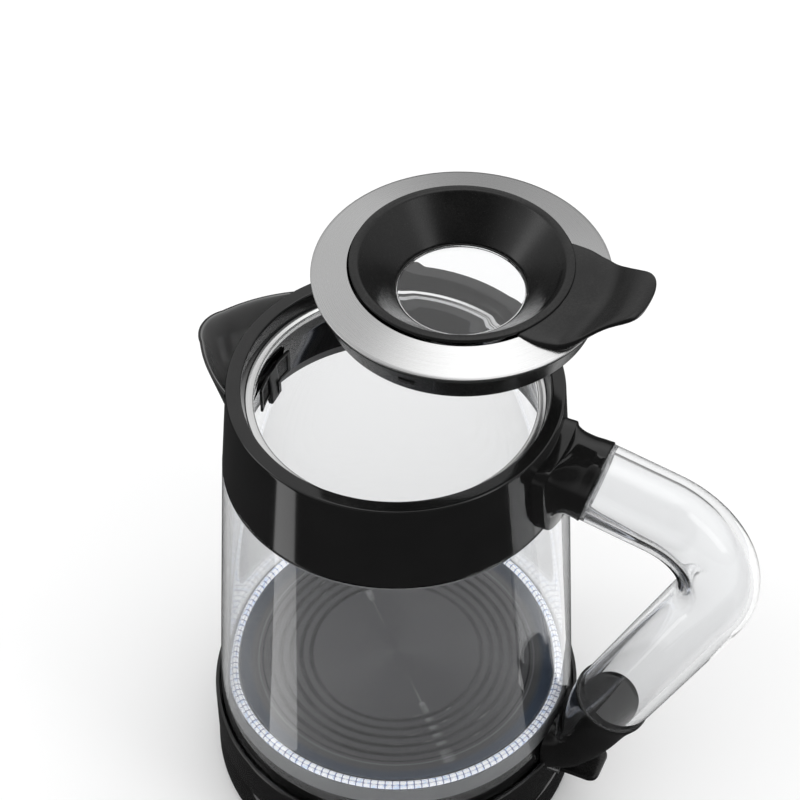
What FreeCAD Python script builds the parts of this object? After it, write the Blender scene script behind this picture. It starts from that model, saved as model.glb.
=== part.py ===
"""Glass electric kettle on a round power base, with its lid lifted off. Millimetres, +Z up.

The origin is on the kettle's axis at the underside of the foot ring. +X points to the handle and -X to the spout.
"""
import FreeCAD, Part
import math
import os

V = FreeCAD.Vector
UP = V(0, 0, 1)

# Heights of the main levels
rim_z = 228.0
collar_low_z = 188.0
plate_z = 60.0
band_top_z = 42.0
glass_low_z = 38.4
jug_low_z = 20.3
deck_z = 20.0

# Radii of the main shells
rim_r = 66.0
collar_low_r = 69.3
glass_top_r = 69.4
glass_low_r = 78.2
glass_wall = 3.0
neck_r = 66.4
band_r = 80.3
base_r = 80.5

# Lid seat
seat_z = 222.0
seat_bore_r = 55.2
seat_out_r = 58.7
rim_inner_r = 60.3

# Lid, measured from the top of its flange edge
flange_r = 56.2
lid_ring_in_r = 40.4
lid_lip_r = 42.0
lid_lip_h = 5.0
window_r = 25.0
window_drop = 11.0
skirt_top_r = 54.5
skirt_low_r = 50.6
skirt_drop = 12.0
tab_reach = 74.5
tab_root_half = 27.0
tab_tip_half = 13.8
lug_angles = (31.0, 151.0, 271.0)
flange_closed_z = 224.3
lid_shift = V(20.8, 13.6, 59.7)

# Handle
tube_r = 16.0
tube_bore_r = 12.3
arm_start = V(83.0, 0, 209.6)
arm_slope = 11.5
low_arm_slope = 113.0
low_arm_end_z = 78.0
low_arm_end_x = 99.7
bend_r = 32.0
socket_r = 16.7
socket_grip = 1.5

# Spout and filter
spout_tip_r = 85.0
spout_tip_round = 14.0
spout_low_round = 5.0
spout_half_angle = 29.0
spout_bulge = 1.8
spout_wall = 2.0
filter_in_r = 52.7
filter_out_r = 54.8
filter_half_angle = 21.0
filter_low_z = 194.0
filter_top_z = 213.0
hook_top_z = 211.5
hook_reach_r = 48.8
hook_width = 7.6

# Switch paddle
paddle_pin = V(75.0, 0, 27.0)
paddle_tip_x = 99.0
paddle_width = 18.0
paddle_thick = 3.4

# Power base
tower_r = 15.8
gland_z = 9.5
gland_bore_r = 3.7
foot_h = 2.2
foot_in_r = 63.0
foot_out_r = 70.0
base_screw_angles = (20, 140, 260)


def ring(outer, inner, low, high):
    """A flat-ended ring about the kettle's axis."""
    return lathe([(inner, low), (outer, low), (outer, high), (inner, high)])


def lathe(points):
    """Turns a closed outline of (radius, height) points about the kettle's axis."""
    corners = [V(r, 0, z) for r, z in points]
    face = Part.Face(Part.makePolygon(corners + corners[:1]))
    return face.revolve(V(0, 0, 0), UP, 360)


def disc(radius, low, high, x=0.0, y=0.0):
    """An upright cylinder."""
    return Part.makeCylinder(radius, high - low, V(x, y, low))


def turned(shape, angle):
    """A copy of a shape turned about the kettle's axis."""
    return shape.copy().rotate(V(0, 0, 0), UP, angle)


def sector(outer, inner, low, high, half_angle, middle):
    """A piece of a ring, half_angle each side of the angle called middle."""
    face = Part.Face(Part.makePolygon([
        V(inner, 0, low), V(outer, 0, low), V(outer, 0, high), V(inner, 0, high), V(inner, 0, low)]))
    return turned(face.revolve(V(0, 0, 0), UP, 2 * half_angle), middle - half_angle)


def screw(head_r, head_h, shank_r, length):
    """A screw that points up, with its head's underside at height zero and a slot in the head."""
    body = Part.makeCylinder(head_r, head_h, V(0, 0, -head_h)).fuse(Part.makeCylinder(shank_r, length))
    slot = Part.makeBox(2 * head_r, 0.8, 0.7, V(-head_r, -0.4, -head_h))
    return body.cut(slot).removeSplitter()


def flip(point):
    """The point mirrored across the plane through the handle and the spout."""
    return V(point.x, -point.y, point.z)


def glass_r(z):
    """Outer radius of the glass wall at a height."""
    share = (collar_low_z - z) / (collar_low_z - glass_low_z)
    return glass_top_r + share * (glass_low_r - glass_top_r)


def glass_in_r(z):
    """Inner radius of the glass wall at a height below its shoulder."""
    share = (collar_low_z - 6.4 - z) / (collar_low_z - 6.4 - glass_low_z)
    return glass_top_r - glass_wall + share * (glass_low_r - glass_top_r)


def collar_r(z):
    """Outer radius of the collar at a height."""
    return collar_low_r + (z - collar_low_z) / (rim_z - collar_low_z) * (rim_r - collar_low_r)


# ---- jug -----------------------------------------------------------------------------------------

def glass_jug():
    low_in = glass_r(glass_low_z) - glass_wall
    top_in = glass_top_r - glass_wall
    shoulder_z = collar_low_z - 0.4
    return lathe([
        (low_in, glass_low_z), (glass_low_r, glass_low_z), (glass_top_r, shoulder_z),
        (neck_r, shoulder_z + 1.6), (neck_r, 196.0), (neck_r - glass_wall, 196.0),
        (neck_r - glass_wall, shoulder_z - 1.0), (top_in, shoulder_z - 6.0)])


def collar_seal():
    inner = neck_r - glass_wall
    return lathe([
        (inner - 0.6, 191.0), (inner, 191.0), (inner, 196.0), (neck_r, 196.0), (neck_r, 190.0),
        (neck_r + 0.5, 190.0), (neck_r + 0.5, 197.4), (inner - 0.6, 197.4)])


def collar():
    """Two skirts under a flat rim, with the spout as a trough in front of the pouring window."""
    skirt_in = neck_r + 0.6
    lip_out = neck_r - glass_wall - 0.7
    shell = lathe([
        (rim_r - 0.6, rim_z), (rim_r, rim_z - 0.6), (collar_low_r, collar_low_z + 0.5),
        (collar_low_r - 0.4, collar_low_z), (skirt_in, collar_low_z + 1.4), (skirt_in, 197.5), (64.8, 197.5),
        (63.6, 225.0), (61.6, 225.0), (60.8, 218.0), (60.8, 201.0), (lip_out, 197.5), (lip_out, 190.5),
        (60.6, 190.5), (58.9, 201.0), (56.8, 214.0), (56.8, seat_z - 1.2), (seat_out_r + 0.1, seat_z - 1.2),
        (seat_out_r + 0.1, seat_z + 0.4), (rim_inner_r, rim_z - 0.3), (rim_inner_r + 0.3, rim_z)])
    tall = rim_z - collar_low_z
    beak = spout_block(0.0, collar_low_z + 3.0, rim_z - 1.0)
    beak = beak.cut(Part.makeCone(68.2, 65.0, tall, V(0, 0, collar_low_z)))
    kept = lathe([
        (0.0, collar_low_z), (collar_low_r - 0.3, collar_low_z), (rim_r, rim_z - 4.0), (rim_r + 0.3, rim_z - 2.5),
        (rim_r + 0.3, rim_z + 3.0), (0.0, rim_z + 3.0)])
    hollow = spout_block(spout_wall, collar_low_z + 7.0, rim_z + 1.0).cut(kept)
    window = sector(69.6, 50.0, 202.0, 214.5, filter_half_angle - 8.0, 180)
    shell = shell.fuse(beak).cut(hollow).cut(window)
    guides = [sector(59.5, filter_out_r + 0.35, 196.0, 213.0, 1.2, 180 + side * (filter_half_angle + 1.6))
              for side in (-1, 1)]
    return shell.fuse(guides).cut(socket_screws()).removeSplitter()


def spout_block(inset, low, high):
    """The spout's filled shape, shrunk by inset: a wedge with bulged sides and a round tip."""
    sections = []
    full_low = collar_low_z + 3.0
    for z in (low, (low + high) / 2.0, high):
        share = (z - full_low) / (rim_z - full_low)
        tip = collar_low_r + 0.6 + (spout_tip_r - collar_low_r - 0.6) * share ** 0.8 - inset
        half = math.radians(spout_half_angle * (0.45 + 0.55 * share))
        root = V(-66.5 * math.cos(half), 66.5 * math.sin(half) - inset, z)
        rounding = spout_low_round + (spout_tip_round - spout_low_round) * share - inset * 0.6
        centre = V(-(tip - rounding), 0, z)
        reach = root.sub(centre)
        turn = math.acos(rounding / reach.Length)
        spread = math.atan2(reach.y, reach.x) + turn
        touch = centre.add(V(rounding * math.cos(spread), rounding * math.sin(spread), 0))
        outward = V(math.cos(spread), math.sin(spread), 0)
        bulge = (root + touch) * 0.5 + outward * (spout_bulge * (0.2 + 0.8 * share))
        upper = Part.Arc(root, bulge, touch).toShape()
        nose = Part.Arc(touch, V(-tip, 0, z), flip(touch)).toShape()
        lower = Part.Arc(flip(touch), flip(bulge), flip(root)).toShape()
        sections.append(Part.Wire([upper, nose, lower, Part.makeLine(flip(root), root)]))
    return Part.makeLoft(sections, True, False)


def seat_ring():
    return lathe([
        (seat_bore_r, 215.5), (seat_bore_r + 1.1, 215.5), (seat_bore_r + 1.1, seat_z - 1.2),
        (seat_out_r, seat_z - 1.2), (seat_out_r, seat_z), (seat_bore_r + 0.4, seat_z),
        (seat_bore_r, seat_z - 0.4)])


# ---- handle --------------------------------------------------------------------------------------

def arm_lines():
    """Start, corner and end of the handle's centre line, with the unit direction of each arm."""
    out = V(math.cos(math.radians(arm_slope)), 0, -math.sin(math.radians(arm_slope)))
    down = V(math.cos(math.radians(low_arm_slope)), 0, -math.sin(math.radians(low_arm_slope)))
    end = V(low_arm_end_x, 0, low_arm_end_z)
    gap = end.sub(arm_start)
    along = (gap.x * down.z - gap.z * down.x) / (out.x * down.z - out.z * down.x)
    return arm_start, arm_start.add(out * along), end, out, down


def bent_rod(radius, overrun):
    """A round rod along the handle's centre line, longer than the clear tube by overrun at each end."""
    start, corner, end, out, down = arm_lines()
    turn = math.acos(out.dot(down))
    tangent = bend_r * math.tan(turn / 2.0)
    first, last = corner.sub(out * tangent), corner.add(down * tangent)
    start, end = start.sub(out * overrun), end.add(down * overrun)
    centre = first.add(V(out.z, 0, -out.x) * bend_r)
    upper = Part.makeCylinder(radius, first.sub(start).Length, start, out)
    lower = Part.makeCylinder(radius, end.sub(last).Length, last, down)
    face = Part.Face(Part.Wire(Part.makeCircle(radius, first, out)))
    bend = face.revolve(centre, V(0, 1, 0), math.degrees(turn))
    return upper.fuse([bend, lower]).removeSplitter()


def handle_tube():
    return bent_rod(tube_r, socket_grip - 0.2).cut(bent_rod(tube_bore_r, socket_grip + 2.0))


def socket_sleeve(end, inward, length):
    """A turned socket round the tube's end. inward points from the tube to the jug."""
    profile = [
        (0, socket_grip), (tube_r + 0.1, socket_grip), (tube_r + 0.1, 0), (socket_r - 0.2, 0),
        (socket_r, 0.3), (socket_r, socket_grip + 1.0), (15.4, 7.0), (15.4, length), (0, length)]
    points = [V(r, 0, s) for r, s in profile]
    face = Part.Face(Part.makePolygon(points + points[:1]))
    sleeve = face.revolve(V(0, 0, 0), UP, 360)
    sleeve.Placement = FreeCAD.Placement(end, FreeCAD.Rotation(UP, inward))
    return sleeve


def rounded_block(x_low, x_high, half_width, z_low, z_high, corner):
    """A block along X with rounded corners."""
    block = Part.makeBox(x_high - x_low, 2 * half_width, z_high - z_low, V(x_low, -half_width, z_low))
    edges = [e for e in block.Edges if abs(e.tangentAt(e.FirstParameter).x) > 0.9]
    return block.makeFillet(corner, edges)


def upper_socket():
    _, _, _, out, _ = arm_lines()
    low, high = 191.0, 225.0
    plate_room = rounded_block(55.0, 90.0, 21.5, low, high, 7.0)
    plate = plate_room.common(Part.makeCone(collar_r(low) + 3.4, collar_r(high) + 3.4, high - low, V(0, 0, low)))
    flare = Part.makeLoft([
        smooth_section(V(78.5, 0, 210.3), V(0, 1, 0), V(0.2, 0, 0.98), 15.3, 15.3, 2.0),
        smooth_section(V(73.0, 0, 209.4), V(0, 1, 0), UP, 17.4, 15.8, 2.5),
        smooth_section(V(60.0, 0, 208.4), V(0, 1, 0), UP, 25.0, 18.0, 3.0)], True, False).common(plate_room)
    body = plate.fuse([flare, socket_sleeve(arm_start, out * -1, 14.0)])
    inner = Part.makeCone(collar_low_r + 0.05, rim_r + 0.05, rim_z - collar_low_z, V(0, 0, collar_low_z))
    return body.cut(inner).cut(socket_screws()).removeSplitter()


def smooth_section(centre, side, up, half_width, half_height, power):
    """A closed smooth curve between an ellipse (power 2) and a rounded rectangle (higher powers)."""
    count = 24
    points = []
    for k in range(count):
        a = 2 * math.pi * k / count
        c, s = math.cos(a), math.sin(a)
        u = math.copysign(abs(c) ** (2.0 / power), c) * half_width
        v = math.copysign(abs(s) ** (2.0 / power), s) * half_height
        points.append(centre.add(side * u).add(up * v))
    curve = Part.BSplineCurve()
    curve.interpolate(points, PeriodicFlag=True)
    return Part.Wire(curve.toShape())


def lower_socket():
    """A boot from the handle's lower end to the base band."""
    _, _, end, _, down = arm_lines()
    side = V(0, 1, 0)
    top = smooth_section(end.add(down * 5.0), side, V(-down.z, 0, down.x), 15.2, 15.2, 2.0)
    middle = smooth_section(V(92.6, 0, 60.0), side, V(0.82, 0, -0.57), 15.6, 14.0, 2.2)
    lower = smooth_section(V(86.0, 0, 48.5), side, V(0.45, 0, -0.89), 16.5, 13.2, 2.7)
    foot = smooth_section(V(75.0, 0, 44.5), side, V(0, 0, -1), 18.5, 13.0, 3.4)
    boot = Part.makeLoft([top, middle, lower, foot], True, False)
    boot = boot.fuse(socket_sleeve(end, down, 9.0))
    low, high = 28.0, 92.0
    wall = Part.makeCone(glass_r(low) + 1.0, glass_r(high) + 1.0, high - low, V(0, 0, low))
    band = disc(band_r + 0.05, jug_low_z, band_top_z + 0.1)
    return boot.cut(wall).cut(band).cut(socket_screws()).removeSplitter()


def socket_screws():
    """Two screws through the collar's wall into the upper socket, and two through the band into the boot."""
    solids = []
    for x, y, z in ((63.7, 9.0, 208.0), (76.3, 14.6, 35.0)):
        for side in (-1, 1):
            piece = screw(3.0, 1.2, 1.5, 7.6)
            piece.Placement = FreeCAD.Placement(V(x, side * y, z), FreeCAD.Rotation(UP, V(1, 0, 0)))
            solids.append(piece)
    return Part.makeCompound(solids)


# ---- heater and light ------------------------------------------------------------------------------

def heater_plate():
    """A dished plate with five shallow rings pressed into it and a skirt that hangs from its edge."""
    top = [(0.0, plate_z)]
    for radius in (37.4, 42.2, 46.7, 50.6, 55.0):
        top += [(radius - 0.9, plate_z), (radius - 0.4, plate_z + 0.5), (radius + 0.4, plate_z + 0.5),
                (radius + 0.9, plate_z)]
    top += [(63.0, plate_z), (64.2, plate_z + 0.8), (68.8, plate_z + 1.6)]
    under = [(68.8, 50.2), (67.6, 50.2), (67.6, plate_z - 1.2), (0.0, plate_z - 1.2)]
    return lathe(top + under)


def led_ring():
    return lathe([
        (69.5, 52.2), (73.0, 52.2), (73.0, plate_z + 1.4), (72.2, plate_z + 2.2), (70.3, plate_z + 2.2),
        (69.5, plate_z + 1.4)])


def led_board():
    board = ring(72.9, 69.6, 50.2, 51.2)
    lamps = [turned(Part.makeBox(1.8, 2.4, 0.8, V(70.3, -1.2, 51.2)), a) for a in range(0, 360, 15)]
    return board.fuse(lamps).removeSplitter()


def plate_seal():
    return ring(69.4, 68.9, 50.2, plate_z + 1.0)


def glass_seal():
    """Sits between the light ring and the flared glass."""
    low, high = 52.2, plate_z + 0.8
    return lathe([(73.05, low), (glass_in_r(low) - 0.05, low), (glass_in_r(high) - 0.05, high), (73.05, high)])


def heat_spreader():
    return ring(52.0, 8.0, plate_z - 4.4, plate_z - 1.2)


def heating_element():
    """A round heating tube in an open ring, with two terminals that turn down."""
    tube_radius, path_r, z, gap = 3.6, 40.0, 51.8, 24.0
    solid = turned(Part.makeTorus(path_r, tube_radius, V(0, 0, z), UP, -180, 180, 360 - 2 * gap), gap)
    for angle in (gap, -gap):
        a = math.radians(angle)
        solid = solid.fuse(disc(tube_radius - 0.4, 42.0, z, path_r * math.cos(a), path_r * math.sin(a)))
        solid = solid.fuse(disc(1.3, 38.0, 42.0, path_r * math.cos(a), path_r * math.sin(a)))
    return solid.removeSplitter()


# ---- jug base --------------------------------------------------------------------------------------

def base_band():
    shell = lathe([
        (band_r, 24.0), (band_r, band_top_z - 0.6), (band_r - 0.6, band_top_z), (78.5, band_top_z),
        (78.5, glass_low_z - 0.2), (73.4, glass_low_z - 0.2), (73.4, 50.0), (69.3, 50.0), (69.3, 47.4),
        (71.2, 47.4), (71.2, 36.0), (78.0, 35.0), (78.0, 24.6), (73.5, 23.6), (73.5, jug_low_z),
        (78.6, jug_low_z), (band_r - 0.4, 21.6)])
    slot = Part.makeBox(16.0, paddle_width + 1.0, 9.6, V(70.0, -(paddle_width + 1.0) / 2, 21.4))
    bosses = [disc(4.2, 26.4, 37.0, 70.5 * math.cos(a), 70.5 * math.sin(a)) for a in cover_screw_angles()]
    return shell.cut(slot).fuse(bosses).cut(cover_screws()).cut(socket_screws()).removeSplitter()


def cover_screw_angles():
    return [math.radians(a) for a in (60, 180, 300)]


def cover_screws():
    solids = []
    for a in cover_screw_angles():
        piece = screw(2.8, 1.4, 1.4, 9.0)
        piece.translate(V(70.5 * math.cos(a), 70.5 * math.sin(a), 24.9))
        solids.append(piece)
    return Part.makeCompound(solids)


def bottom_cover():
    cover = lathe([(24.4, 23.5), (73.2, 23.5), (73.2, 24.8), (77.6, 25.0), (77.6, 26.3), (24.4, 26.3)])
    opening = paddle_width + 8.0
    slot = Part.makeBox(16.0, opening, 12.0, V(69.0, -opening / 2, 18.0))
    return cover.cut(slot).cut(cover_screws()).removeSplitter()


def thermostat_control():
    """The control block under the heater, with the two steam discs' housings on its side."""
    body = disc(22.0, 36.2, 44.0)
    wing = Part.makeBox(42.0, 20.0, 7.0, V(14.0, -10.0, 36.4))
    posts = [disc(4.0, 44.0, 53.4, 14 * math.cos(a), 14 * math.sin(a)) for a in (1.0, 3.1, 5.2)]
    return body.fuse([wing] + posts).removeSplitter()


def jug_connector():
    """The round socket that drops over the power base's tower at any angle."""
    cup = lathe([(16.4, 22.0), (24.0, 22.0), (24.0, 36.0), (4.0, 36.0), (4.0, 33.0), (16.4, 33.0)])
    flange = ring(28.0, 24.0, 26.5, 28.5)
    return cup.fuse(flange).removeSplitter()


def switch_paddle():
    half = paddle_width / 2
    plate = Part.makeBox(paddle_tip_x - 72.0, paddle_width, paddle_thick,
                         V(72.0, -half, paddle_pin.z - paddle_thick / 2))
    corners = [e for e in plate.Edges if abs(e.tangentAt(e.FirstParameter).z) > 0.9 and e.BoundBox.XMax > 90]
    plate = plate.makeFillet(6.0, corners)
    hub = Part.makeCylinder(3.4, paddle_width, V(paddle_pin.x, -half, paddle_pin.z), V(0, 1, 0))
    bore = Part.makeCylinder(1.55, paddle_width + 2, V(paddle_pin.x, -half - 1, paddle_pin.z), V(0, 1, 0))
    thumb = Part.makeCylinder(60.0, paddle_width, V(90.0, -half, paddle_pin.z + 61.2), V(0, 1, 0))
    return plate.cut(thumb).fuse(hub).cut(bore).removeSplitter()


def switch_pin():
    return Part.makeCylinder(1.5, paddle_width + 4.4,
                             V(paddle_pin.x, -paddle_width / 2 - 2.2, paddle_pin.z), V(0, 1, 0))


def switch_bracket():
    """Two ears on the band that hold the paddle's pin."""
    ears = []
    for side in (-1, 1):
        y = side * (paddle_width / 2 + 1.3) - 0.9
        ear = Part.makeBox(7.0, 1.8, 8.5, V(paddle_pin.x - 3.5, y, 24.6))
        ears.append(ear)
    bar = Part.makeBox(7.0, paddle_width + 4.4, 1.6, V(paddle_pin.x - 3.5, -(paddle_width + 4.4) / 2, 32.6))
    return bar.fuse(ears).cut(switch_pin()).cut(base_band()).removeSplitter()


# ---- spout filter ----------------------------------------------------------------------------------

def filter_frame():
    """A curved frame with three ribs across its opening and a finger hook on its inner side."""
    frame = sector(filter_out_r, filter_in_r, filter_low_z, filter_top_z, filter_half_angle, 180)
    window = sector(filter_out_r + 1, filter_in_r - 1, filter_low_z + 2.4, filter_top_z - 2.6,
                    filter_half_angle - 3.0, 180)
    ribs = [sector(filter_out_r - 0.4, filter_in_r + 0.3, filter_low_z, filter_top_z, 0.8, 180 + a)
            for a in (-9.0, 0.0, 9.0)]
    return frame.cut(window).fuse(ribs + [filter_hook()]).removeSplitter()


def filter_hook():
    """A finger hook that leans in towards the jug's axis and ends above the frame's foot."""
    back = -filter_in_r - 0.3
    profile = [(back, hook_top_z), (-50.6, 210.0), (-hook_reach_r, 203.0), (-49.4, 197.0), (back, 199.0)]
    corners = [V(x, -hook_width / 2, z) for x, z in profile]
    return Part.Face(Part.makePolygon(corners + corners[:1])).extrude(V(0, hook_width, 0))


def filter_mesh():
    return sector(filter_out_r - 0.1, filter_out_r - 0.35, filter_low_z + 2.5, filter_top_z - 2.7,
                  filter_half_angle - 3.1, 180)


# ---- lid, at its place over the jug ----------------------------------------------------------------

def lid_place(shape):
    """Moves a lid piece from its own origin, the middle of its flange edge, to where the lid is held."""
    moved = shape.copy()
    moved.translate(V(0, 0, flange_closed_z).add(lid_shift))
    return moved


def lid_steel_ring():
    rise = lid_lip_h - 0.6
    return lathe([
        (flange_r - 0.3, -1.0), (flange_r, -0.7), (flange_r, -0.2), (flange_r - 0.5, 0.1),
        (lid_ring_in_r, rise), (lid_ring_in_r, rise - 0.9), (54.0, -0.6), (54.0, -1.0)])


def lid_funnel():
    """The black cone that leads down to the window, with a rolled lip and the grip tab."""
    cone = lathe([
        (lid_ring_in_r, lid_lip_h - 1.6), (lid_ring_in_r, lid_lip_h - 0.5), (lid_lip_r, lid_lip_h - 0.7),
        (lid_lip_r - 0.2, lid_lip_h + 0.3), (lid_lip_r - 1.2, lid_lip_h + 0.8),
        (lid_lip_r - 2.4, lid_lip_h + 0.4), (lid_lip_r - 3.4, lid_lip_h - 1.0),
        (window_r, -window_drop + 2.4), (window_r, -window_drop - 0.4), (window_r + 2.2, -window_drop - 0.4),
        (window_r + 2.2, -window_drop + 1.4), (lid_lip_r - 3.6, lid_lip_h - 4.6)])
    inside = Part.makeCone(window_r, lid_lip_r - 3.4, window_drop - 2.4 + lid_lip_h - 1.0,
                           V(0, 0, -window_drop + 2.4))
    ring_top = lid_lip_h - 0.6
    covered = lathe([(lid_ring_in_r, -5.0), (flange_r, -5.0), (flange_r, -0.2), (flange_r - 0.5, 0.1),
                     (lid_ring_in_r, ring_top)])
    tab = grip_tab().cut(disc(lid_lip_r - 1.2, -20.0, 30.0)).cut(covered)
    return cone.fuse([tab] + lid_bosses()).cut(inside).cut(lid_screws()).removeSplitter()


def grip_tab():
    """A grip that lies across the steel ring, narrows, and sweeps up past the collar's rim."""
    inner = 34.0
    top = [(inner, 5.6), (46.0, 4.8), (52.0, 4.1), (56.0, 5.0), (60.0, 8.9), (64.0, 12.4), (68.0, 14.5),
           (71.5, 15.2), (tab_reach, 15.2)]
    under = [(tab_reach, 12.2), (70.0, 11.6), (66.0, 9.8), (62.0, 6.8), (59.6, 4.6), (57.6, 2.2),
             (56.2, 0.2), (48.0, 1.2), (inner, 3.0)]
    side = Part.Wire([smooth_line([V(x, 0, z) for x, z in top]),
                      Part.makeLine(V(tab_reach, 0, 15.2), V(tab_reach, 0, 12.2)),
                      Part.makePolygon([V(x, 0, z) for x, z in under]),
                      Part.makeLine(V(inner, 0, 3.0), V(inner, 0, 5.6))])
    slab = turned(Part.Face(side).revolve(V(0, 0, 0), UP, 130), -65)
    edge = [V(49.6, tab_root_half, 0), V(56.0, 22.6, 0), V(61.0, 17.6, 0), V(66.0, 14.8, 0),
            V(70.0, tab_tip_half - 0.6, 0), V(73.2, 8.6, 0), V(tab_reach - 0.2, 0, 0)]
    start = V(25.0, tab_root_half, 0)
    outline = Part.Wire([Part.makeLine(start, edge[0]), smooth_line(edge),
                         smooth_line([flip(p) for p in reversed(edge)]),
                         Part.makeLine(flip(edge[0]), flip(start)), Part.makeLine(flip(start), start)])
    return slab.common(Part.Face(outline).extrude(V(0, 0, 30.0)))


def smooth_line(points):
    curve = Part.BSplineCurve()
    curve.interpolate(points)
    return curve.toShape()


def lid_window():
    return lathe([
        (0.0, -window_drop - 0.4), (24.3, -window_drop - 0.4), (24.3, -window_drop + 1.6),
        (20.0, -window_drop + 2.3), (12.0, -window_drop + 2.8), (0.0, -window_drop + 3.0)])


def window_seal():
    return ring(24.95, 24.35, -window_drop - 0.4, -window_drop + 1.9)


def lid_skirt():
    """A shallow cup under the flange, with three snap lugs near its lower edge."""
    inner = window_r + 2.4
    cup = lathe([
        (skirt_top_r, -2.2), (skirt_low_r + 0.5, -skirt_drop + 0.8), (skirt_low_r, -skirt_drop),
        (inner, -skirt_drop), (inner, -skirt_drop + 2.0), (skirt_low_r - 2.2, -skirt_drop + 2.0),
        (51.0, -4.2), (46.0, -4.2), (46.0, -2.2)])
    lugs = [sector(51.6, 49.0, -9.6, -7.2, 3.4, a) for a in lug_angles]
    return cup.fuse(lugs).cut(lid_screws()).removeSplitter()


def lid_gasket():
    return lathe([(54.2, -2.15), (55.7, -2.15), (55.9, -1.05), (54.2, -1.05)])


def lid_screws():
    solids = []
    for angle in (30, 150, 270):
        a = math.radians(angle)
        piece = screw(2.6, 1.2, 1.3, 5.4)
        piece.translate(V(31.0 * math.cos(a), 31.0 * math.sin(a), -skirt_drop + 1.4))
        solids.append(piece)
    return Part.makeCompound(solids)


def lid_bosses():
    """Posts under the funnel that the lid's screws grip."""
    posts = [disc(3.0, -skirt_drop + 2.05, -skirt_drop + 10.4, 31.0 * math.cos(math.radians(a)),
                  31.0 * math.sin(math.radians(a))) for a in (30, 150, 270)]
    return posts


# ---- power base ------------------------------------------------------------------------------------

def power_base_shell():
    shell = lathe([
        (base_r, 3.4), (base_r, 8.0), (base_r - 1.2, 17.4), (base_r - 3.4, deck_z), (32.4, deck_z),
        (32.4, 18.2), (20.2, 18.2), (20.2, 15.8), (34.6, 15.8), (34.6, 17.6), (base_r - 4.2, 17.6),
        (base_r - 3.2, 16.4), (base_r - 2.2, 7.6), (base_r - 2.2, 3.4)])
    posts = [disc(4.4, 4.4, 17.8, *spot) for spot in ring_spots(55.0, base_screw_angles)]
    hole = Part.makeCylinder(5.2, 20.0, V(0, 70.0, gland_z), V(0, 1, 0))
    return shell.fuse(posts).cut(base_screws()).cut(hole).removeSplitter()


def ring_spots(radius, angles):
    return [(radius * math.cos(math.radians(a)), radius * math.sin(math.radians(a))) for a in angles]


def base_plate():
    plate = ring(base_r - 2.4, 0.5, foot_h, foot_h + 2.0).fuse(disc(1.0, foot_h, foot_h + 2.0))
    rim = ring(base_r - 2.4, base_r - 4.2, foot_h, foot_h + 4.4)
    notch = Part.makeCylinder(5.6, 20.0, V(0, 70.0, gland_z), V(0, 1, 0))
    return plate.fuse(rim).cut(notch).cut(base_screws()).removeSplitter()


def base_screws():
    solids = []
    for x, y in ring_spots(55.0, base_screw_angles):
        piece = screw(3.0, 1.0, 1.5, 9.0)
        piece.translate(V(x, y, foot_h + 1.2))
        solids.append(piece)
    return Part.makeCompound(solids)


def base_foot_ring():
    """A non-slip rubber ring under the bottom plate."""
    return lathe([
        (foot_in_r + 0.5, 0.0), (foot_out_r - 0.5, 0.0), (foot_out_r, 0.5), (foot_out_r, foot_h),
        (foot_in_r, foot_h), (foot_in_r, 0.5)])


def base_connector():
    """The tower that carries the contacts, with a flange under the shell's deck."""
    return lathe([
        (0.0, 12.6), (24.0, 12.6), (24.0, 15.7), (tower_r, 15.7), (tower_r, 29.4), (tower_r - 0.6, 30.0),
        (12.6, 30.0), (12.6, 19.0), (8.4, 19.0), (8.4, 30.0), (4.6, 30.0), (4.6, 19.0), (0.0, 19.0)])


def base_contacts():
    """A centre pin and a ring contact, both seated in the tower's grooves."""
    pin = disc(1.6, 19.0, 34.0).fuse(disc(4.2, 19.0, 20.6))
    band = ring(12.2, 11.4, 19.0, 29.0)
    return Part.makeCompound([pin, band])


def turning_ring():
    """A slip ring that the jug's socket turns on, in the recess of the deck."""
    return lathe([(24.4, 18.5), (31.8, 18.5), (31.8, 20.8), (31.2, 21.4), (24.4, 21.4)])


def cord_inlet():
    """The grommet in the base's wall that the supply cord would pass through."""
    body = Part.makeCylinder(5.1, 11.4, V(0, 73.0, gland_z), V(0, 1, 0))
    flange = Part.makeCylinder(7.0, 3.0, V(0, base_r + 0.9, gland_z), V(0, 1, 0))
    bore = Part.makeCylinder(gland_bore_r, 30.0, V(0, 65.0, gland_z), V(0, 1, 0))
    return body.fuse(flange).cut(bore).removeSplitter()


jug_parts = {
    "glass_jug": glass_jug, "collar": collar, "collar_seal": collar_seal, "seat_ring": seat_ring,
    "upper_socket": upper_socket, "handle_tube": handle_tube, "lower_socket": lower_socket,
    "socket_screws": socket_screws, "heater_plate": heater_plate, "led_ring": led_ring,
    "led_board": led_board, "plate_seal": plate_seal, "glass_seal": glass_seal,
    "heat_spreader": heat_spreader, "heating_element": heating_element, "base_band": base_band,
    "bottom_cover": bottom_cover, "cover_screws": cover_screws, "thermostat_control": thermostat_control,
    "jug_connector": jug_connector, "switch_bracket": switch_bracket, "switch_paddle": switch_paddle,
    "switch_pin": switch_pin, "filter_frame": filter_frame, "filter_mesh": filter_mesh}
lid_parts = {
    "lid_steel_ring": lid_steel_ring, "lid_funnel": lid_funnel, "lid_window": lid_window,
    "window_seal": window_seal, "lid_skirt": lid_skirt, "lid_gasket": lid_gasket, "lid_screws": lid_screws}
base_parts = {
    "power_base_shell": power_base_shell, "base_plate": base_plate, "base_screws": base_screws,
    "base_foot_ring": base_foot_ring, "base_connector": base_connector, "base_contacts": base_contacts,
    "turning_ring": turning_ring, "cord_inlet": cord_inlet}

os.makedirs("parts", exist_ok=True)
for name, make in {**jug_parts, **base_parts}.items():
    make().exportStep(f"parts/{name}.step")
for name, make in lid_parts.items():
    lid_place(make()).exportStep(f"parts/{name}.step")
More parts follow.
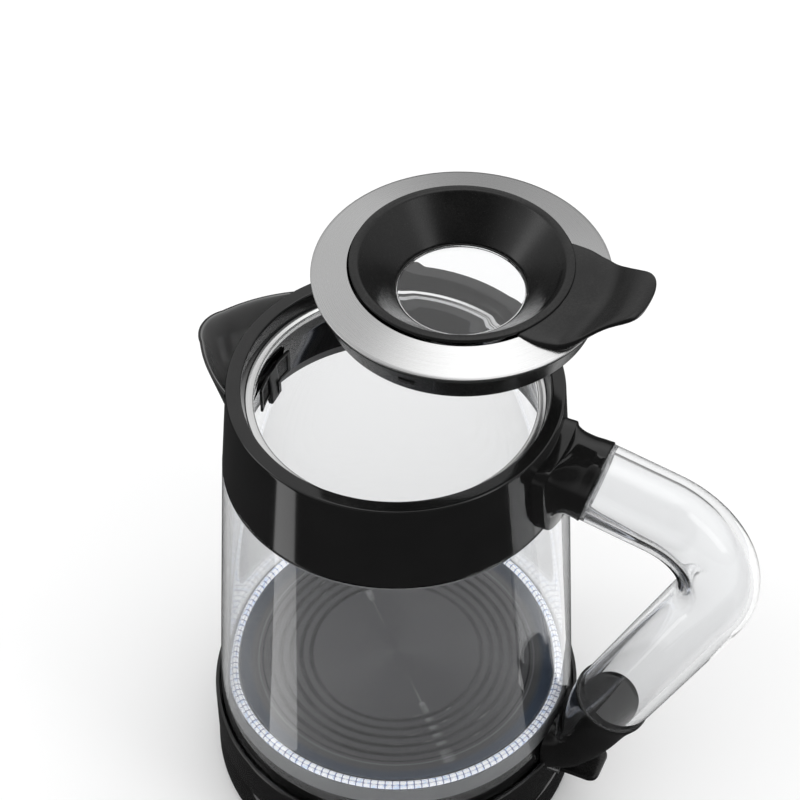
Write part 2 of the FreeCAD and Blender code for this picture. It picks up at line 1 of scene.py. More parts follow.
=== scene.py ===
import bmesh
import bpy
import math
import numpy as np
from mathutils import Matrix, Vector


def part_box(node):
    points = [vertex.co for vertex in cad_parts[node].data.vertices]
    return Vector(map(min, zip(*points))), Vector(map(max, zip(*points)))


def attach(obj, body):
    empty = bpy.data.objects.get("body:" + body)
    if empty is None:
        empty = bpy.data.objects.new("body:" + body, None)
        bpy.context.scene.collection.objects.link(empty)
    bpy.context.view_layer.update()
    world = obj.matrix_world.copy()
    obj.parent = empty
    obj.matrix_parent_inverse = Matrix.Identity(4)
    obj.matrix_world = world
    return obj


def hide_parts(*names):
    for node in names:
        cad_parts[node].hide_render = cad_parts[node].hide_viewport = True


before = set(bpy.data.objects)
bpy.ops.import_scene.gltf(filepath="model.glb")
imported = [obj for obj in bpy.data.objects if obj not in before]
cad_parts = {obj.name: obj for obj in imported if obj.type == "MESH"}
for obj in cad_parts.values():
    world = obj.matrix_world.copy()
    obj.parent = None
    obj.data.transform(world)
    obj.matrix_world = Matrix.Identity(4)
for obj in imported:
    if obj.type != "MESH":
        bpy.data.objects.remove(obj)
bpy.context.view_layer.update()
print("frame loaded")

# Lengths here are in mm, in the frame's own axes: the spout points to -X and the handle to +X.
mm = 0.001
fullTurn = 2 * math.pi


def spanOf(node):
    low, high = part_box(node)
    return np.array(low) / mm, np.array(high) / mm


# Rounds a closed outline: near a corner c the curve is (1-t)^2 a + 2t(1-t) c + t^2 b, where a and b lie the
# rounding away on its two sides, and one more point a little further out on each side keeps the flats flat.
def rounded(corners, steps=5):
    corners = np.array(corners, float)
    points = corners[:, :2]
    back = np.roll(points, 1, 0) - points
    ahead = np.roll(points, -1, 0) - points
    backLength = np.linalg.norm(back, axis=1, keepdims=True)
    aheadLength = np.linalg.norm(ahead, axis=1, keepdims=True)
    shortest = np.minimum(backLength, aheadLength)
    cut = np.minimum(corners[:, 2:], 0.42 * shortest)
    hold = cut + 0.07 * shortest
    back, ahead = back / backLength, ahead / aheadLength
    t = np.linspace(0, 1, steps + 1)[None, :, None]
    start, end = (points + back * cut)[:, None], (points + ahead * cut)[:, None]
    curve = (1 - t) ** 2 * start + 2 * t * (1 - t) * points[:, None] + t ** 2 * end
    before, after = (points + back * hold)[:, None], (points + ahead * hold)[:, None]
    return np.concatenate([before, curve, after], 1).reshape(-1, 2)


# Turns an outline: the point (r, z) goes round as (x + r cos a, y + r sin a, h + z).
def turned(outline, columns=240, centre=(0, 0, 0)):
    a = np.linspace(0, fullTurn, columns, endpoint=False)
    r, z = outline[:, :1], outline[:, 1:]
    grid = np.stack([centre[0] + r * np.cos(a), centre[1] + r * np.sin(a), centre[2] + z + 0 * a], -1)
    return grid, True, True


# Closes the two open ends of a tube: a row at each end is shrunk to the middle of the end ring.
def capped(grid):
    first = grid[:1].mean(1, keepdims=True) + 0 * grid[:1]
    last = grid[-1:].mean(1, keepdims=True) + 0 * grid[-1:]
    return np.concatenate([first, grid, last], 0), False, True


# The part of a turned shape between two angles, in degrees.
def turnedPart(outline, fromAngle, toAngle, rows=24, centre=(0, 0, 0)):
    a = np.radians(np.linspace(fromAngle, toAngle, rows))[:, None]
    r, z = outline[:, 0][None], outline[:, 1][None]
    return capped(np.stack([centre[0] + r * np.cos(a), centre[1] + r * np.sin(a), centre[2] + z + 0 * a], -1))


# A curve through points given at places along it: cubic pieces whose slopes come from the neighbours.
def smoothThrough(places, values, where):
    places, values = np.array(places, float), np.array(values, float)
    values = values.reshape(len(places), -1)
    slopes = np.gradient(values, places, axis=0)
    k = np.clip(np.searchsorted(places, where) - 1, 0, len(places) - 2)
    width = (places[k + 1] - places[k])[:, None]
    t = (where - places[k])[:, None] / width
    return ((1 + 2 * t) * (1 - t) ** 2 * values[k] + t * (1 - t) ** 2 * width * slopes[k]
            + t ** 2 * (3 - 2 * t) * values[k + 1] + t ** 2 * (t - 1) * width * slopes[k + 1])


# A ring between an ellipse (power 2) and a rounded rectangle: the signs of cos and sin, times their sizes to
# the power of 2/power.
def superRing(power, columns):
    a = np.linspace(0, fullTurn, columns, endpoint=False)[None, :]
    power = np.reshape(np.array(power, float), (-1, 1))
    c, s = np.cos(a), np.sin(a)
    return np.sign(c) * np.abs(c) ** (2 / power), np.sign(s) * np.abs(s) ** (2 / power)


# Rings set along a path: centre + side * across + up * tall for every station and every angle.
def ringsAlong(centres, sides, ups, across, tall):
    return (centres[:, None] + sides[:, None] * across[..., None] + ups[:, None] * tall[..., None])


def box(low, high):
    x, y, z = zip(low, high)
    ring = [(x[0], y[0]), (x[1], y[0]), (x[1], y[1]), (x[0], y[1])]
    return capped(np.array([[(px, py, level) for px, py in ring] for level in z], float))


def gridFaces(rows, columns, wrapRows, wrapColumns):
    i = np.arange(rows if wrapRows else rows - 1)[:, None]
    j = np.arange(columns if wrapColumns else columns - 1)[None, :]
    nextI, nextJ = (i + 1) % rows, (j + 1) % columns
    corners = [i * columns + j, i * columns + nextJ, nextI * columns + nextJ, nextI * columns + j]
    return np.stack(corners, -1).reshape(-1, 4)


# Each shell is turned outwards by the sign of its volume, the sum of its corners' triple products.
def meshOf(name, shells):
    points, faces, start = [], [], 0
    for grid, wrapRows, wrapColumns in shells:
        flat = grid.reshape(-1, 3)
        quads = gridFaces(*grid.shape[:2], wrapRows, wrapColumns)
        p = flat[quads] - flat.mean(0)
        volume = (p[:, 0] * (np.cross(p[:, 1], p[:, 2]) + np.cross(p[:, 2], p[:, 3]))).sum()
        points.append(flat * mm)
        faces.append((quads if volume > 0 else quads[:, ::-1]) + start)
        start += len(flat)
    mesh = bpy.data.meshes.new(name)
    mesh.from_pydata(np.concatenate(points).tolist(), [], np.concatenate(faces).tolist())
    work = bmesh.new()
    work.from_mesh(mesh)
    bmesh.ops.remove_doubles(work, verts=work.verts, dist=2e-7)
    work.to_mesh(mesh)
    work.free()
    return mesh


def addObject(name, mesh):
    made = bpy.data.objects.new(name, mesh)
    bpy.context.scene.collection.objects.link(made)
    return made


# Takes closed shapes away from a piece.
def cutAway(mesh, cutters):
    piece, tools = addObject("worked", mesh), [addObject("tool", meshOf("tool", [c])) for c in cutters]
    for tool in tools:
        modifier = piece.modifiers.new("cut", "BOOLEAN")
        modifier.object, modifier.solver = tool, "EXACT"
    result = bpy.data.meshes.new_from_object(piece.evaluated_get(bpy.context.evaluated_depsgraph_get()))
    for used in [piece] + tools:
        bpy.data.objects.remove(used)
    return result


def placePiece(name, mesh, body, nodes, material, sharp=40):
    mesh.name = name
    mesh.materials.clear()
    mesh.materials.append(material)
    mesh.shade_smooth()
    mesh.set_sharp_from_angle(angle=math.radians(sharp))
    piece = addObject(name, mesh)
    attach(piece, body)
    if nodes:
        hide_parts(*nodes)
    print("made", name, len(mesh.polygons))
    return piece


def newGroup(name, inputs, outputs):
    tree = bpy.data.node_groups.new(name, "ShaderNodeTree")
    for label, kind, value in inputs:
        socket = tree.interface.new_socket(name=label, in_out="INPUT", socket_type=kind)
        socket.default_value = value
    for label, kind in outputs:
        tree.interface.new_socket(name=label, in_out="OUTPUT", socket_type=kind)
    return tree, tree.nodes.new("NodeGroupInput").outputs, tree.nodes.new("NodeGroupOutput").inputs


def feed(tree, socket, value):
    if isinstance(value, bpy.types.NodeSocket):
        tree.links.new(value, socket)
    else:
        socket.default_value = value


def math2(tree, operation, a, b=0.0, clamp=False):
    node = tree.nodes.new("ShaderNodeMath")
    node.operation, node.use_clamp = operation, clamp
    feed(tree, node.inputs[0], a)
    feed(tree, node.inputs[1], b)
    return node.outputs[0]


def noise(tree, vector, scale, detail=3.0, roughness=0.55):
    node = tree.nodes.new("ShaderNodeTexNoise")
    feed(tree, node.inputs["Vector"], vector)
    feed(tree, node.inputs["Scale"], scale)
    node.inputs["Detail"].default_value = detail
    node.inputs["Roughness"].default_value = roughness
    return node.outputs["Fac"]


def ranged(tree, value, low, high, toLow, toHigh):
    node = tree.nodes.new("ShaderNodeMapRange")
    for k, given in enumerate((value, low, high, toLow, toHigh)):
        feed(tree, node.inputs[k], given)
    return node.outputs[0]


def objectPoint(tree):
    return tree.nodes.new("ShaderNodeTexCoord").outputs["Object"]


# The distance from the axis: the square root of x squared plus y squared.
def axisDistance(tree, x, y):
    squares = math2(tree, "ADD", math2(tree, "MULTIPLY", x, x), math2(tree, "MULTIPLY", y, y))
    return math2(tree, "SQRT", squares)


# A line at one radius: most within near mm of the middle, and nothing beyond far mm.
def lineAt(tree, radius, middle, near, far, most):
    away = math2(tree, "ABSOLUTE", math2(tree, "SUBTRACT", radius, middle))
    return ranged(tree, away, near, far, most, 0.0)


def grainGroup():
    # moulded grain: six tenths of a fine noise plus four tenths of a broad one
    tree, given, out = newGroup(
        "mouldedGrain", [("Scale", "NodeSocketFloat", 2500.0), ("Low", "NodeSocketFloat", 0.2),
                         ("High", "NodeSocketFloat", 0.3)],
        [("Value", "NodeSocketFloat"), ("Height", "NodeSocketFloat"), ("Cloud", "NodeSocketFloat")])
    place = objectPoint(tree)
    fine = noise(tree, place, given["Scale"])
    broad = noise(tree, place, 35.0, 2.0)
    mixed = math2(tree, "ADD", math2(tree, "MULTIPLY", fine, 0.6), math2(tree, "MULTIPLY", broad, 0.4))
    feed(tree, out["Value"], ranged(tree, mixed, 0.3, 0.7, given["Low"], given["High"]))
    feed(tree, out["Height"], fine)
    feed(tree, out["Cloud"], ranged(tree, broad, 0.3, 0.7, 0.0, 1.0))
    return tree


def wearGroup():
    # worn edges: where the surface turns sharply outwards, broken up by a noise
    tree, given, out = newGroup(
        "edgeWear", [("Amount", "NodeSocketFloat", 0.3)], [("Mask", "NodeSocketFloat")])
    turn = ranged(tree, tree.nodes.new("ShaderNodeNewGeometry").outputs["Pointiness"], 0.52, 0.62, 0.0, 1.0)
    broken = ranged(tree, noise(tree, objectPoint(tree), 180.0), 0.35, 0.65, 0.3, 1.0)
    rubbed = math2(tree, "MULTIPLY", turn, broken)
    feed(tree, out["Mask"], math2(tree, "MULTIPLY", rubbed, given["Amount"], True))
    return tree


def dustGroup():
    # settled dust: on faces that look up, in patches
    tree, given, out = newGroup(
        "settledDust", [("Amount", "NodeSocketFloat", 0.1)], [("Mask", "NodeSocketFloat")])
    facing = tree.nodes.new("ShaderNodeSeparateXYZ")
    feed(tree, facing.inputs[0], tree.nodes.new("ShaderNodeNewGeometry").outputs["Normal"])
    up = ranged(tree, facing.outputs["Z"], 0.4, 1.0, 0.0, 1.0)
    place = objectPoint(tree)
    specks = math2(tree, "MULTIPLY", noise(tree, place, 60.0), noise(tree, place, 900.0))
    patches = ranged(tree, specks, 0.2, 0.42, 0.0, 1.0)
    settled = math2(tree, "MULTIPLY", up, patches)
    feed(tree, out["Mask"], math2(tree, "MULTIPLY", settled, given["Amount"], True))
    return tree


def brushedGroup():
    # circular brushing: noise over (radius, height, cosine of the angle) that is fine across the strokes and
    # long round them, with a painted sheen from two sines of the angle: bright and dark sectors, painted
    # reflections
    tree, given, out = newGroup(
        "brushingAndPaintedSheen", [("Centre", "NodeSocketVector", (0, 0, 0)), ("Low", "NodeSocketFloat", 0.2),
                             ("High", "NodeSocketFloat", 0.4), ("Turn", "NodeSocketFloat", 0.0)],
        [("Value", "NodeSocketFloat"), ("Height", "NodeSocketFloat"), ("PaintedSheen", "NodeSocketFloat")])
    move = tree.nodes.new("ShaderNodeVectorMath")
    move.operation = "SUBTRACT"
    feed(tree, move.inputs[0], objectPoint(tree))
    feed(tree, move.inputs[1], given["Centre"])
    parts = tree.nodes.new("ShaderNodeSeparateXYZ")
    feed(tree, parts.inputs[0], move.outputs[0])
    x, y, z = parts.outputs
    radius = axisDistance(tree, x, y)
    angle = math2(tree, "ADD", math2(tree, "ARCTAN2", y, x), given["Turn"])
    across = tree.nodes.new("ShaderNodeCombineXYZ")
    feed(tree, across.inputs[0], math2(tree, "MULTIPLY", radius, 5200.0))
    feed(tree, across.inputs[1], math2(tree, "MULTIPLY", z, 3600.0))
    feed(tree, across.inputs[2], math2(tree, "MULTIPLY", math2(tree, "COSINE", angle), 2.6))
    strokes = noise(tree, across.outputs[0], 1.0, 4.0, 0.6)
    paintedSheen = math2(tree, "ADD", math2(tree, "SINE", math2(tree, "MULTIPLY", angle, 2.0)),
                  math2(tree, "MULTIPLY", math2(tree, "SINE", math2(tree, "MULTIPLY", angle, 5.0)), 0.25))
    feed(tree, out["Value"], ranged(tree, strokes, 0.3, 0.7, given["Low"], given["High"]))
    feed(tree, out["Height"], strokes)
    feed(tree, out["PaintedSheen"], ranged(tree, paintedSheen, -1.1, 1.1, 0.0, 1.0))
    return tree


groups = {"grain": grainGroup(), "wear": wearGroup(), "dust": dustGroup(), "brushed": brushedGroup()}


def useGroup(tree, name, **values):
    node = tree.nodes.new("ShaderNodeGroup")
    node.node_tree = groups[name]
    for label, value in values.items():
        feed(tree, node.inputs[label], value)
    return node.outputs


def mixColours(tree, share, first, second):
    node = tree.nodes.new("ShaderNodeMix")
    node.data_type = "RGBA"
    feed(tree, node.inputs[0], share)
    feed(tree, node.inputs[6], first)
    feed(tree, node.inputs[7], second)
    return node.outputs[2]


def bump(tree, height, strength, distance):
    node = tree.nodes.new("ShaderNodeBump")
    feed(tree, node.inputs["Height"], height)
    node.inputs["Strength"].default_value = strength
    node.inputs["Distance"].default_value = distance * mm
    return node.outputs["Normal"]


def newMaterial(name, **fixed):
    material = bpy.data.materials.new(name)
    material.use_nodes = True
    shader = material.node_tree.nodes["Principled BSDF"]
    for label, value in fixed.items():
        shader.inputs[label.replace("_", " ")].default_value = value
    return material, material.node_tree, shader.inputs


def grey(value):
    return (value, value, value, 1.0)


dustColour = (0.42, 0.41, 0.39, 1)


# One moulded plastic or rubber: grain in the roughness and the bump, light wear on edges, a little dust.
def moulded(name, look):
    material, tree, shader = newMaterial(name, IOR=look.get("ior", 1.5), Coat_Weight=look.get("coat", 0.0),
                                         Coat_Roughness=0.03)
    grain = useGroup(tree, "grain", Scale=look["grain"], Low=look["rough"][0], High=look["rough"][1])
    wear = useGroup(tree, "wear", Amount=look["wear"])["Mask"]
    dust = useGroup(tree, "dust", Amount=look["dust"])["Mask"]
    body = mixColours(tree, grain["Cloud"], look["colour"], look["second"])
    worn = mixColours(tree, wear, body, look["worn"])
    feed(tree, shader["Base Color"], mixColours(tree, dust, worn, dustColour))
    rougher = math2(tree, "MULTIPLY", dust, 0.5)
    feed(tree, shader["Roughness"], math2(tree, "ADD", grain["Value"], rougher, True))
    feed(tree, shader["Normal"], bump(tree, grain["Height"], look["bump"], 0.05))
    return material


mouldedLooks = {
    "glossBlack": {"colour": grey(0.006), "second": grey(0.008), "worn": grey(0.02), "rough": (0.07, 0.11),
                   "grain": 900.0, "bump": 0.02, "wear": 0.25, "dust": 0.012, "ior": 1.47},
    # the spout's inside is black plastic; its paler grey is a painted reflection
    "spoutPaintedReflection": {"colour": grey(0.1), "second": grey(0.2), "worn": grey(0.16), "rough": (0.1, 0.2),
                    "grain": 500.0, "bump": 0.05, "wear": 0.1, "dust": 0.01},
    "satinBlack": {"colour": grey(0.004), "second": grey(0.006), "worn": grey(0.02), "rough": (0.23, 0.31),
                   "grain": 4200.0, "bump": 0.12, "wear": 0.4, "dust": 0.02, "ior": 1.41},
    "blackRubber": {"colour": grey(0.012), "second": grey(0.018), "worn": grey(0.05), "rough": (0.6, 0.75),
                    "grain": 3000.0, "bump": 0.25, "wear": 0.3, "dust": 0.06},
    "silicone": {"colour": (0.5, 0.51, 0.52, 1), "second": (0.42, 0.43, 0.44, 1), "worn": grey(0.6),
                 "rough": (0.4, 0.55), "grain": 2400.0, "bump": 0.15, "wear": 0.2, "dust": 0.04},
    "greySilicone": {"colour": grey(0.11), "second": grey(0.15), "worn": grey(0.2), "rough": (0.3, 0.42),
                     "grain": 2400.0, "bump": 0.1, "wear": 0.2, "dust": 0.02},
    "dullBlack": {"colour": grey(0.003), "second": grey(0.005), "worn": grey(0.02), "rough": (0.32, 0.42),
                  "grain": 3600.0, "bump": 0.1, "wear": 0.3, "dust": 0.01, "ior": 1.32},
    "greyPlastic": {"colour": grey(0.16), "second": grey(0.2), "worn": grey(0.3), "rough": (0.4, 0.52),
                    "grain": 2600.0, "bump": 0.15, "wear": 0.3, "dust": 0.05},
    "circuitBoard": {"colour": (0.9, 0.92, 0.9, 1), "second": (0.78, 0.82, 0.8, 1), "worn": grey(0.5),
                     "rough": (0.3, 0.45), "grain": 1500.0, "bump": 0.1, "wear": 0.2, "dust": 0.02},
}


# The heater's tones: a triangle wave of the radius darkens the raised rings, painted shade for the
# reflections on their slopes; a dark and a pale line lie outside them, and the dished edge is painted bluish,
# a painted glow of the light ring.
def heaterBands(tree, colour, bands):
    parts = tree.nodes.new("ShaderNodeSeparateXYZ")
    feed(tree, parts.inputs[0], objectPoint(tree))
    x, y = parts.outputs[:2]
    radius = math2(tree, "DIVIDE", axisDistance(tree, x, y), mm)
    count = math2(tree, "DIVIDE", math2(tree, "SUBTRACT", radius, bands["first"]), bands["pitch"])
    wave = math2(tree, "ABSOLUTE", math2(tree, "SUBTRACT", math2(tree, "FRACT", count), 0.5))
    inside = math2(tree, "MULTIPLY", math2(tree, "GREATER_THAN", radius, bands["first"]),
                   math2(tree, "LESS_THAN", radius, bands["last"]))
    patchy = ranged(tree, noise(tree, objectPoint(tree), 25.0), 0.35, 0.6, 0.35, 0.9)
    # painted shade: the raised rings are darkened in the colour, in patches
    paintedRidgeShade = math2(tree, "MULTIPLY", ranged(tree, wave, 0.14, 0.3, 1.0, 0.0), inside)
    shadeAndLine = math2(tree, "MAXIMUM", math2(tree, "MULTIPLY", paintedRidgeShade, patchy),
                     lineAt(tree, radius, bands["line"], 0.2, 0.5, 0.8))
    marked = mixColours(tree, shadeAndLine, colour, bands["dark"])
    lined = mixColours(tree, lineAt(tree, radius, bands["pale"], 0.15, 0.4, 0.7), marked, bands["light"])
    # painted glow: the dished edge is tinted blue as if lit by the light ring
    outer = ranged(tree, radius, bands["edge"], bands["edge"] + bands["fade"], 0.0, 1.0)
    return mixColours(tree, outer, lined, bands["blue"])


# Turned or brushed metal. turn sets where the painted sheen's bright parts lie.
def brushedMetal(name, look, centre=(0, 0, 0)):
    material, tree, shader = newMaterial(name, Metallic=1.0, Anisotropic=look["stretch"])
    strokes = useGroup(tree, "brushed", Centre=tuple(c * mm for c in centre), Low=look["rough"][0],
                       High=look["rough"][1], Turn=look.get("turn", 0.0))
    wear = useGroup(tree, "wear", Amount=0.3)["Mask"]
    tone = mixColours(tree, strokes["Height"], look["dark"], look["light"])
    # Three tenths of the colour is the painted sheen: bright and dark sectors round the axis, painted
    # reflections.
    sheenedTone = mixColours(tree, 0.3, mixColours(tree, strokes["PaintedSheen"], look["dark"], look["light"]), tone)
    if "bands" in look:
        sheenedTone = heaterBands(tree, sheenedTone, look["bands"])
    feed(tree, shader["Base Color"], mixColours(tree, wear, sheenedTone, grey(0.85)))
    feed(tree, shader["Roughness"], strokes["Value"])
    feed(tree, shader["Normal"], bump(tree, strokes["Height"], look["bump"], 0.02))
    tangent = tree.nodes.new("ShaderNodeTangent")
    tangent.direction_type, tangent.axis = "RADIAL", "Z"
    feed(tree, shader["Tangent"], tangent.outputs[0])
    return material


metalLooks = {
    "lidSteel": {"dark": grey(0.4), "light": grey(0.7), "rough": (0.2, 0.32), "bump": 0.06,
                 "stretch": 0.65, "turn": 1.5},
    # the filter mesh's near-black metal is painted shade: the filter sits in the collar's shadow
    "meshPaintedShade": {"dark": grey(0.012), "light": grey(0.03), "rough": (0.45, 0.6), "bump": 0.05,
                 "stretch": 0.0},
    "seatSteel": {"dark": grey(0.5), "light": grey(0.75), "rough": (0.14, 0.24), "bump": 0.05,
                  "stretch": 0.4},
    "heaterSteel": {"dark": (0.13, 0.13, 0.136, 1), "light": (0.18, 0.18, 0.186, 1), "rough": (0.42, 0.55),
                    "bump": 0.04, "stretch": 0.2,
                    # bands: the rings' dark tone is painted shade and the blue edge is a painted glow of the
                    # light ring
                    "bands": {"first": 35.2, "pitch": 4.4, "last": 57.2, "line": 58.6, "pale": 60.4,
                              "edge": 62.5, "fade": 2.5, "dark": (0.055, 0.055, 0.058, 1),
                              "light": (0.3, 0.31, 0.32, 1), "blue": (0.09, 0.115, 0.16, 1)}},
    "fastenerSteel": {"dark": grey(0.4), "light": grey(0.6), "rough": (0.2, 0.35), "bump": 0.05,
                      "stretch": 0.0},
    "aluminium": {"dark": grey(0.55), "light": grey(0.7), "rough": (0.3, 0.45), "bump": 0.1,
                  "stretch": 0.2},
    "contactBrass": {"dark": (0.6, 0.42, 0.2, 1), "light": (0.75, 0.56, 0.3, 1), "rough": (0.2, 0.3),
                     "bump": 0.05, "stretch": 0.0},
}


# Clear wall: nearly white, with very slight waves and faint smears in the roughness.
def clearWall(name, look):
    material, tree, shader = newMaterial(name, IOR=look["ior"], Transmission_Weight=1.0)
    place = objectPoint(tree)
    cloud = noise(tree, place, 14.0, 2.0)
    feed(tree, shader["Base Color"], mixColours(tree, cloud, look["tint"], look["clear"]))
    feed(tree, shader["Roughness"], ranged(tree, noise(tree, place, 90.0), 0.45, 0.75, 0.0, look["smear"]))
    feed(tree, shader["Normal"], bump(tree, cloud, look["wave"], 1.0))
    return material


clearLooks = {
    "clearGlass": {"ior": 1.5, "tint": (0.88, 0.885, 0.89, 1), "clear": (0.905, 0.91, 0.915, 1),
                   "smear": 0.003, "wave": 0.015},
    "clearPlastic": {"ior": 1.49, "tint": (0.93, 0.935, 0.94, 1), "clear": (0.955, 0.96, 0.965, 1),
                     "smear": 0.004, "wave": 0.02},
}


# Lit light guide: cells round the ring (a sawtooth of the angle) and bands across it (a sine of the radius),
# in cool white, blue and violet.
def litGuide(look):
    material, tree, shader = newMaterial("lightGuide", IOR=1.49, Emission_Strength=look["strength"])
    parts = tree.nodes.new("ShaderNodeSeparateXYZ")
    feed(tree, parts.inputs[0], objectPoint(tree))
    x, y = parts.outputs[:2]
    turns = math2(tree, "DIVIDE", math2(tree, "ARCTAN2", y, x), fullTurn)
    cell = math2(tree, "FRACT", math2(tree, "MULTIPLY", turns, float(look["cells"])))
    edge = ranged(tree, math2(tree, "ABSOLUTE", math2(tree, "SUBTRACT", cell, 0.5)), 0.36, 0.48, 0.0, 1.0)
    turning = math2(tree, "MULTIPLY", axisDistance(tree, x, y), 2 * look["bandRate"] / mm)
    bands = math2(tree, "SINE", turning)
    spots = noise(tree, objectPoint(tree), 420.0, 2.0)
    tinted = mixColours(tree, ranged(tree, spots, 0.5, 0.66, 0.0, 1.0), look["white"], look["blue"])
    shaded = mixColours(tree, math2(tree, "MULTIPLY", edge, 0.85), tinted, look["violet"])
    final = mixColours(tree, ranged(tree, bands, 0.5, 1.0, 0.0, 0.55), shaded, look["violet"])
    feed(tree, shader["Base Color"], final)
    feed(tree, shader["Emission Color"], final)
    feed(tree, shader["Roughness"], ranged(tree, spots, 0.3, 0.7, 0.1, 0.3))
    return material


guideLook = {"strength": 0.8, "cells": 150, "bandRate": 2.2, "white": (0.95, 0.97, 1.0, 1),
             "blue": (0.66, 0.77, 0.97, 1), "violet": (0.07, 0.08, 0.2, 1)}

materials = {name: moulded(name, look) for name, look in mouldedLooks.items()}
materials.update({name: clearWall(name, look) for name, look in clearLooks.items()})
materials["lightGuide"] = litGuide(guideLook)
lidLow, lidHigh = spanOf("lid_steel_ring")
lidCentre = ((lidLow[0] + lidHigh[0]) / 2, (lidLow[1] + lidHigh[1]) / 2, lidLow[2] + 1.0)
for name, look in metalLooks.items():
    materials[name] = brushedMetal(name, look, lidCentre if name == "lidSteel" else (0, 0, 0))
print("materials ready")


view = {"place": (0.25425, -0.56700, 0.87756), "turn": (43.32, 0.0, 24.0), "lens": 104.49}  # m, degrees, mm
camera = bpy.data.objects.new("camera", bpy.data.cameras.new("camera"))
camera.location = view["place"]
camera.rotation_euler = [math.radians(a) for a in view["turn"]]
camera.data.lens = view["lens"]
bpy.context.scene.collection.objects.link(camera)
bpy.context.scene.camera = camera


jug = {"wall": 3.0, "neckOut": 66.4, "neckIn": 63.4, "topOut": 69.4, "neck": 8.4}


def glassJug():
    low, high = spanOf("glass_jug")
    shoulder = high[2] - jug["neck"]
    outline = rounded([
        (high[0], low[2], 1.3), (jug["topOut"], shoulder, 0.7), (jug["neckOut"], shoulder + 1.6, 0.5),
        (jug["neckOut"], high[2], 0.9), (jug["neckIn"], high[2], 0.9), (jug["neckIn"], shoulder + 2.6, 0.9),
        (jug["topOut"] - jug["wall"], shoulder - 1.4, 1.2), (high[0] - jug["wall"], low[2], 1.3)])
    placePiece("glassJug", meshOf("glassJug", [turned(outline, 320)]), "jug", ["glass_jug"],
               materials["clearGlass"])


collar = {"rimOut": 66.0, "rimIn": 60.3, "lowOut": 69.3, "rimTop": 228.0, "low": 188.0, "seat": 222.0,
          "windowLow": 202.0, "windowHigh": 214.5, "windowHalf": 13.0}

spout = {"tip": 85.0, "tipRound": 14.0, "lowRound": 5.0, "halfAngle": 29.0, "bulge": 1.8, "wall": 2.0,
         "low": 191.0, "high": 227.0, "floor": 195.0, "root": 66.5, "lip": 0.7, "middle": 72.0}


# A level section of the spout: a bowed side from the root to the tip's arc, the arc, the other side, and a
# straight back. share goes from 0 at the bottom to 1 at the rim.
def spoutSections(levels, inset, points=14):
    share = (levels - spout["low"]) / (collar["rimTop"] - spout["low"])
    foot = collar["lowOut"] + 0.6
    tip = foot + (spout["tip"] - foot) * np.maximum(share, 0) ** 0.8 - inset
    half = np.radians(spout["halfAngle"] * (0.45 + 0.55 * share))
    root = np.stack([-spout["root"] * np.cos(half), spout["root"] * np.sin(half) - inset], -1)
    rounding = spout["lowRound"] + (spout["tipRound"] - spout["lowRound"]) * share - inset * 0.6
    centre = np.stack([rounding - tip, 0 * tip], -1)
    reach = root - centre
    spread = np.arctan2(reach[:, 1], reach[:, 0]) + np.arccos(rounding / np.linalg.norm(reach, axis=1))
    outward = np.stack([np.cos(spread), np.sin(spread)], -1)
    touch = centre + outward * rounding[:, None]
    t = np.linspace(0, 1, points, endpoint=False)[None, :, None]
    bow = (spout["bulge"] * (0.2 + 0.8 * share))[:, None, None] * outward[:, None]
    side = (1 - t) * root[:, None] + t * touch[:, None] + 4 * t * (1 - t) * bow
    swing = spread[:, None] + (fullTurn - 2 * spread)[:, None] * np.linspace(0, 1, 2 * points)[None]
    nose = centre[:, None] + rounding[:, None, None] * np.stack([np.cos(swing), np.sin(swing)], -1)
    other = (side * [1, -1])[:, ::-1]
    ring = np.concatenate([side, nose, other], 1)
    return np.concatenate([ring, np.broadcast_to(levels[:, None, None], ring.shape[:2] + (1,))], -1)


# The spout is a bent wall: its section goes up the outside, over a rolled lip, down the inside to the floor
# and back to the collar, and is carried from one root round the tip to the other. Both ends lie inside the
# collar.
def spoutShell():
    lip, top = spout["lip"], spout["high"]
    outer = spoutSections(np.linspace(spout["low"], top - lip, 26), 0.0)
    levels = np.array([top - 0.3 * lip, top, top, top - 0.3 * lip])
    crown = spoutSections(levels, 0.0)
    thin = spoutSections(levels, spout["wall"])
    crown = crown + (thin - crown) * np.array([0.1, 0.35, 0.65, 0.9])[:, None, None]
    inner = spoutSections(np.linspace(top - lip, spout["floor"], 24), spout["wall"])
    floor, foot = inner[-1:].copy(), outer[:1].copy()
    floor[..., 0] = foot[..., 0] = -spout["root"] + 1.0
    return capped(np.concatenate([outer, crown, inner, floor, foot], 0).transpose(1, 0, 2))


